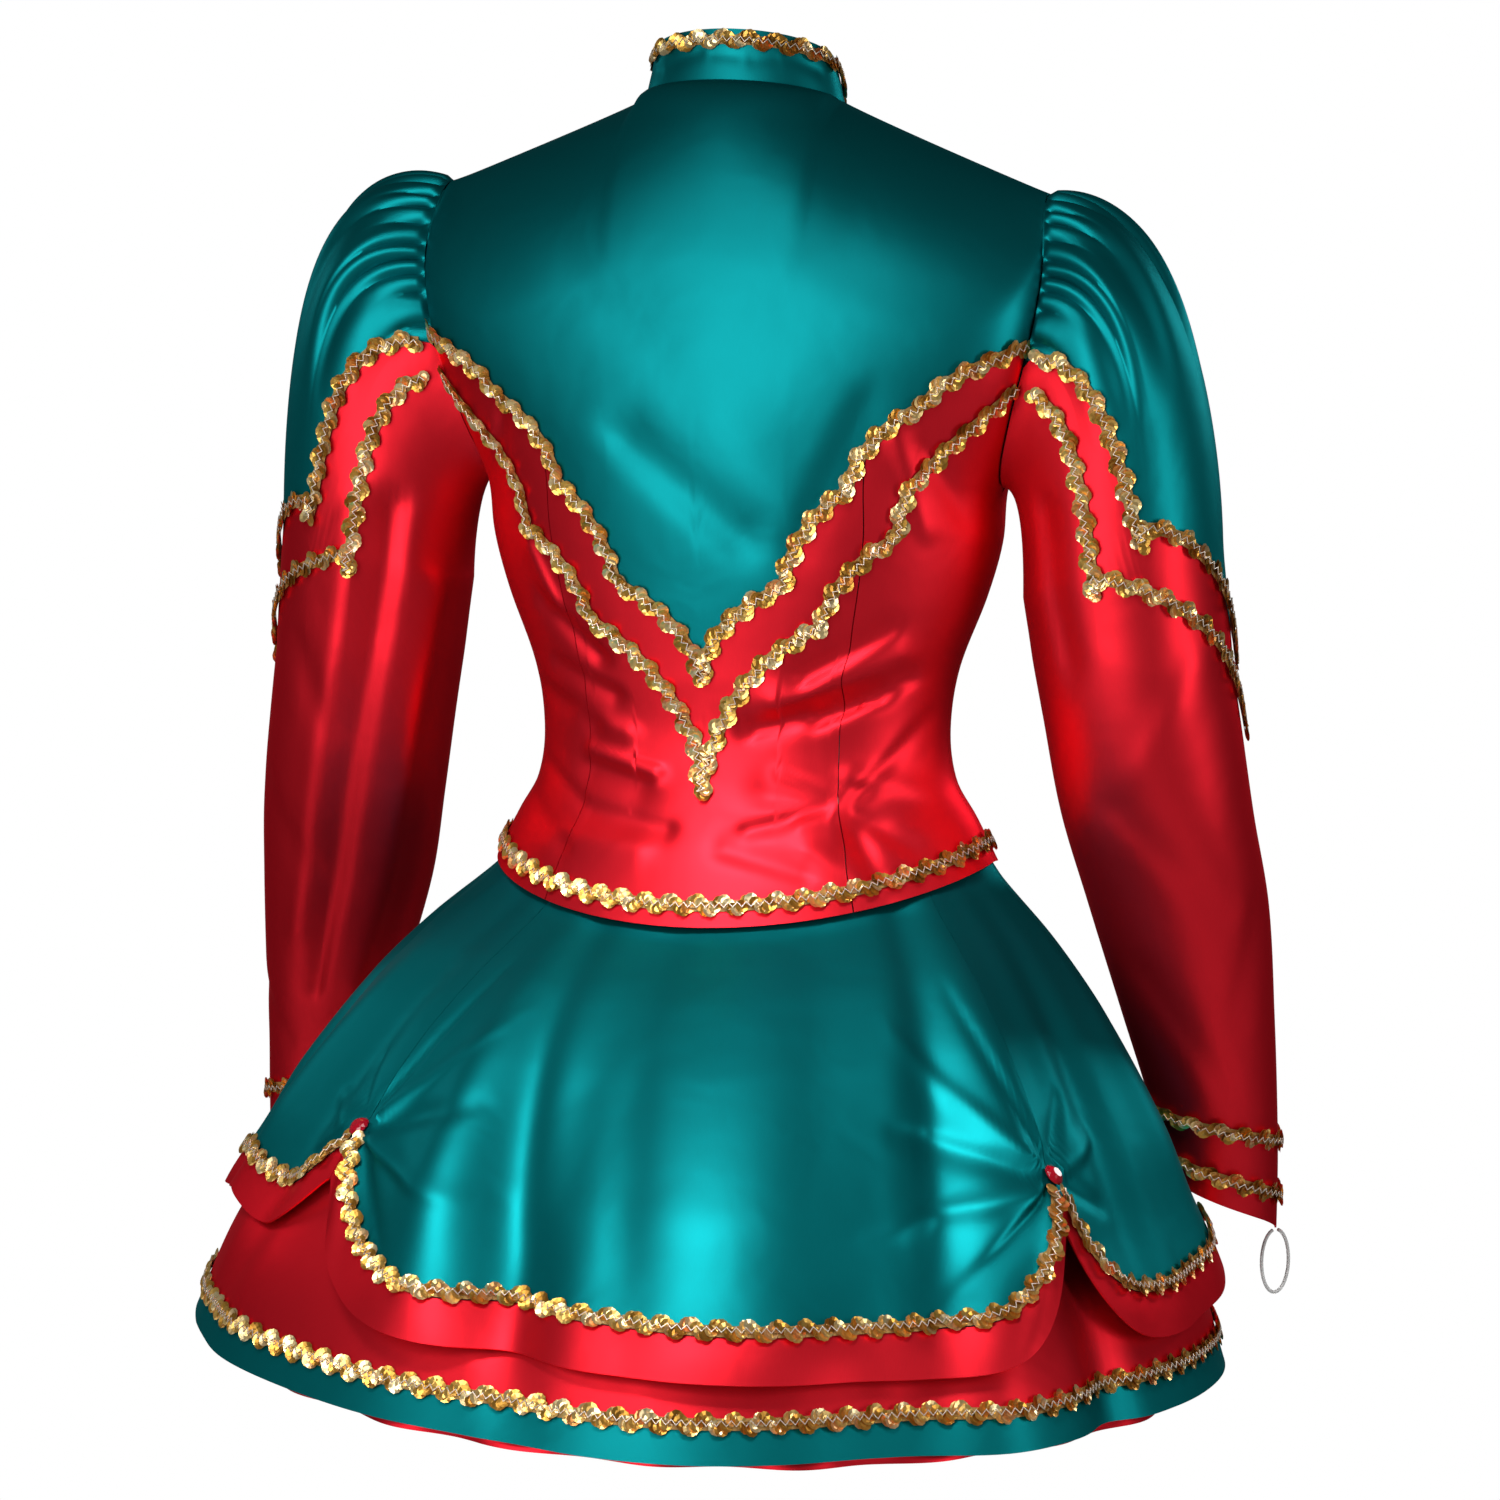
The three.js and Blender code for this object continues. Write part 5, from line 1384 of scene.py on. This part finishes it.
class UNIFORM_OT_braids(bpy.types.Operator):
    """Sequin braid on every seam and hem that has one"""

    bl_idname = "uniform.braids"
    bl_label = "Sequin braids"

    def execute(self, context):
        settings = context.scene.majorette_uniform
        made = 0

        def lay(name, surface, places, **options):
            nonlocal made
            obj = make_braid(f"{name}_sequins", surface, places, settings, phase=made % 6, **options)
            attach(obj, "root")
            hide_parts(name)
            made += 1

        def body_path(face, us, line):
            return np.stack([us, level_at(face, us, v_line(line, us))], axis=-1)

        edge = 0.965
        for part, line in (("upper", YOKE_BACK), ("lower", LOWER_BACK)):
            us = fine_columns(-edge, edge, 161, [u for u, _ in line])
            lay(f"braid_back_{part}", "back", body_path(1, us, line))
        for part, line in (("upper", YOKE_FRONT), ("lower", LOWER_FRONT)):
            for name, side in (("left", 1), ("right", -1)):
                us = np.sort(side * fine_columns(0.05, edge, 81, [u for u, _ in line]))
                lay(f"braid_front_{part}_{name}", "front", body_path(-1, us, line))
        theta = np.linspace(-179.5, 179.5, 181)
        lay("braid_jacket_hem", "hem", np.stack([theta, 0 * theta + HEM_TURNING + BRAID_WIDE / 2], axis=-1))
        angle = np.linspace(-178, 178, 121)
        up = 1 - BRAID_WIDE / 2 / COLLAR["height"]
        lay("braid_collar", "collar", np.stack([angle, 0 * angle + up + 0.03], axis=-1), wide=12, lift=1.0)
        for name in ("left", "right"):
            for part, corners, first, last in SLEEVE_BRAIDS:
                at = fine_columns(first, last, 161, [c for c, _ in corners])
                share = np.maximum(0.06, round_line(corners, at))
                lay(f"braid_sleeve_{part}_{name}", name, np.stack([at, share], axis=-1), lift=1.8)
            for part, share in CUFF_BRAIDS:
                at = np.linspace(-180, 180, 73)
                lay(f"braid_cuff_{part}_{name}", name, np.stack([at, 0 * at + share], axis=-1))
        for name, start, stop in PANELS:
            theta = SKIRT["turn"] + np.linspace(start + 0.6, stop - 0.6, 121)
            path = drop_at(theta, overskirt_hem(theta) + BAND["over"] + 2)
            lay(f"overskirt_braid_{name}", "over", np.stack([theta, path], axis=-1))
        theta = np.linspace(0, 360, 241)
        path = drop_at(theta, skirt_hem(theta) + BAND["under"] + 2)
        lay("underskirt_braid", "under", np.stack([theta, path], axis=-1))
        return {"FINISHED"}


class UNIFORM_OT_jewels(bpy.types.Operator):
    """Cut glass jewels that hold up the festoons"""

    bl_idname = "uniform.jewels"
    bl_label = "Jewels"

    def execute(self, context):
        for name, psi in JEWELS:
            theta = np.float64(SKIRT["turn"] + psi)
            t = drop_at(theta, overskirt_hem(theta) + BAND["over"] + JEWEL["above"])
            centre = place("over", theta, t)
            facing = normals("over", theta, t)
            side = np.cross(facing, [0, 0, 1.0])
            side /= np.linalg.norm(side)
            up = np.cross(side, facing)
            sides = JEWEL["sides"]
            points = []
            for k, (radius, high) in enumerate(JEWEL_RINGS):
                angle = (np.arange(sides) + 0.5 * (k % 2)) * 2 * math.pi / sides
                ring = np.cos(angle)[:, None] * side + np.sin(angle)[:, None] * up
                points.append(centre + MM * (radius * ring + high * facing))
            last = (len(JEWEL_RINGS) - 1) * sides
            faces = [tuple(range(sides))[::-1], tuple(last + j for j in range(sides))]
            for k in range(len(JEWEL_RINGS) - 1):
                for j in range(sides):
                    a, b = k * sides + j, k * sides + (j + 1) % sides
                    c, d = a + sides, b + sides
                    faces += [(a, b, c), (b, d, c)] if k % 2 == 0 else [(a, b, d), (a, d, c)]
            obj = new_object(f"jewel_{name}_cut", np.concatenate(points), faces)
            obj.data.polygons.foreach_set("use_smooth", [False] * len(obj.data.polygons))
            finish_piece(obj, finish("red cut glass"), f"jewel_{name}")
        return {"FINISHED"}


class UNIFORM_PT_panel(bpy.types.Panel):
    """Sizes, colours and pieces of the uniform"""

    bl_label = "Majorette uniform"
    bl_idname = "UNIFORM_PT_panel"
    bl_space_type = "VIEW_3D"
    bl_region_type = "UI"
    bl_category = "Uniform"

    def draw(self, context):
        settings = context.scene.majorette_uniform
        for name in ("cloth", "sequin", "cup", "shingle", "thread", "seed", "teal", "red", "gold", "white"):
            self.layout.prop(settings, name)
        for operator in PIECES:
            self.layout.operator(operator.bl_idname)


PIECES = (
    UNIFORM_OT_studio,
    UNIFORM_OT_finger_loops,
    UNIFORM_OT_jacket_back,
    UNIFORM_OT_jacket_front,
    UNIFORM_OT_collar,
    UNIFORM_OT_sleeves,
    UNIFORM_OT_overskirt,
    UNIFORM_OT_underskirts,
    UNIFORM_OT_waistband,
    UNIFORM_OT_braids,
    UNIFORM_OT_jewels,
)
CLASSES = (UniformSettings, *PIECES, UNIFORM_PT_panel)


def register():
    for one in CLASSES:
        bpy.utils.register_class(one)
    bpy.types.Scene.majorette_uniform = PointerProperty(type=UniformSettings)


def unregister():
    del bpy.types.Scene.majorette_uniform
    for one in reversed(CLASSES):
        bpy.utils.unregister_class(one)


def main():
    register()
    bpy.ops.uniform.studio()
    bpy.ops.uniform.finger_loops()
    bpy.ops.uniform.jacket_back()
    bpy.ops.uniform.jacket_front()
    bpy.ops.uniform.collar()
    bpy.ops.uniform.sleeves()
    bpy.ops.uniform.overskirt()
    bpy.ops.uniform.underskirts()
    bpy.ops.uniform.waistband()
    bpy.ops.uniform.braids()
    bpy.ops.uniform.jewels()


if __name__ == "__main__":
    main()
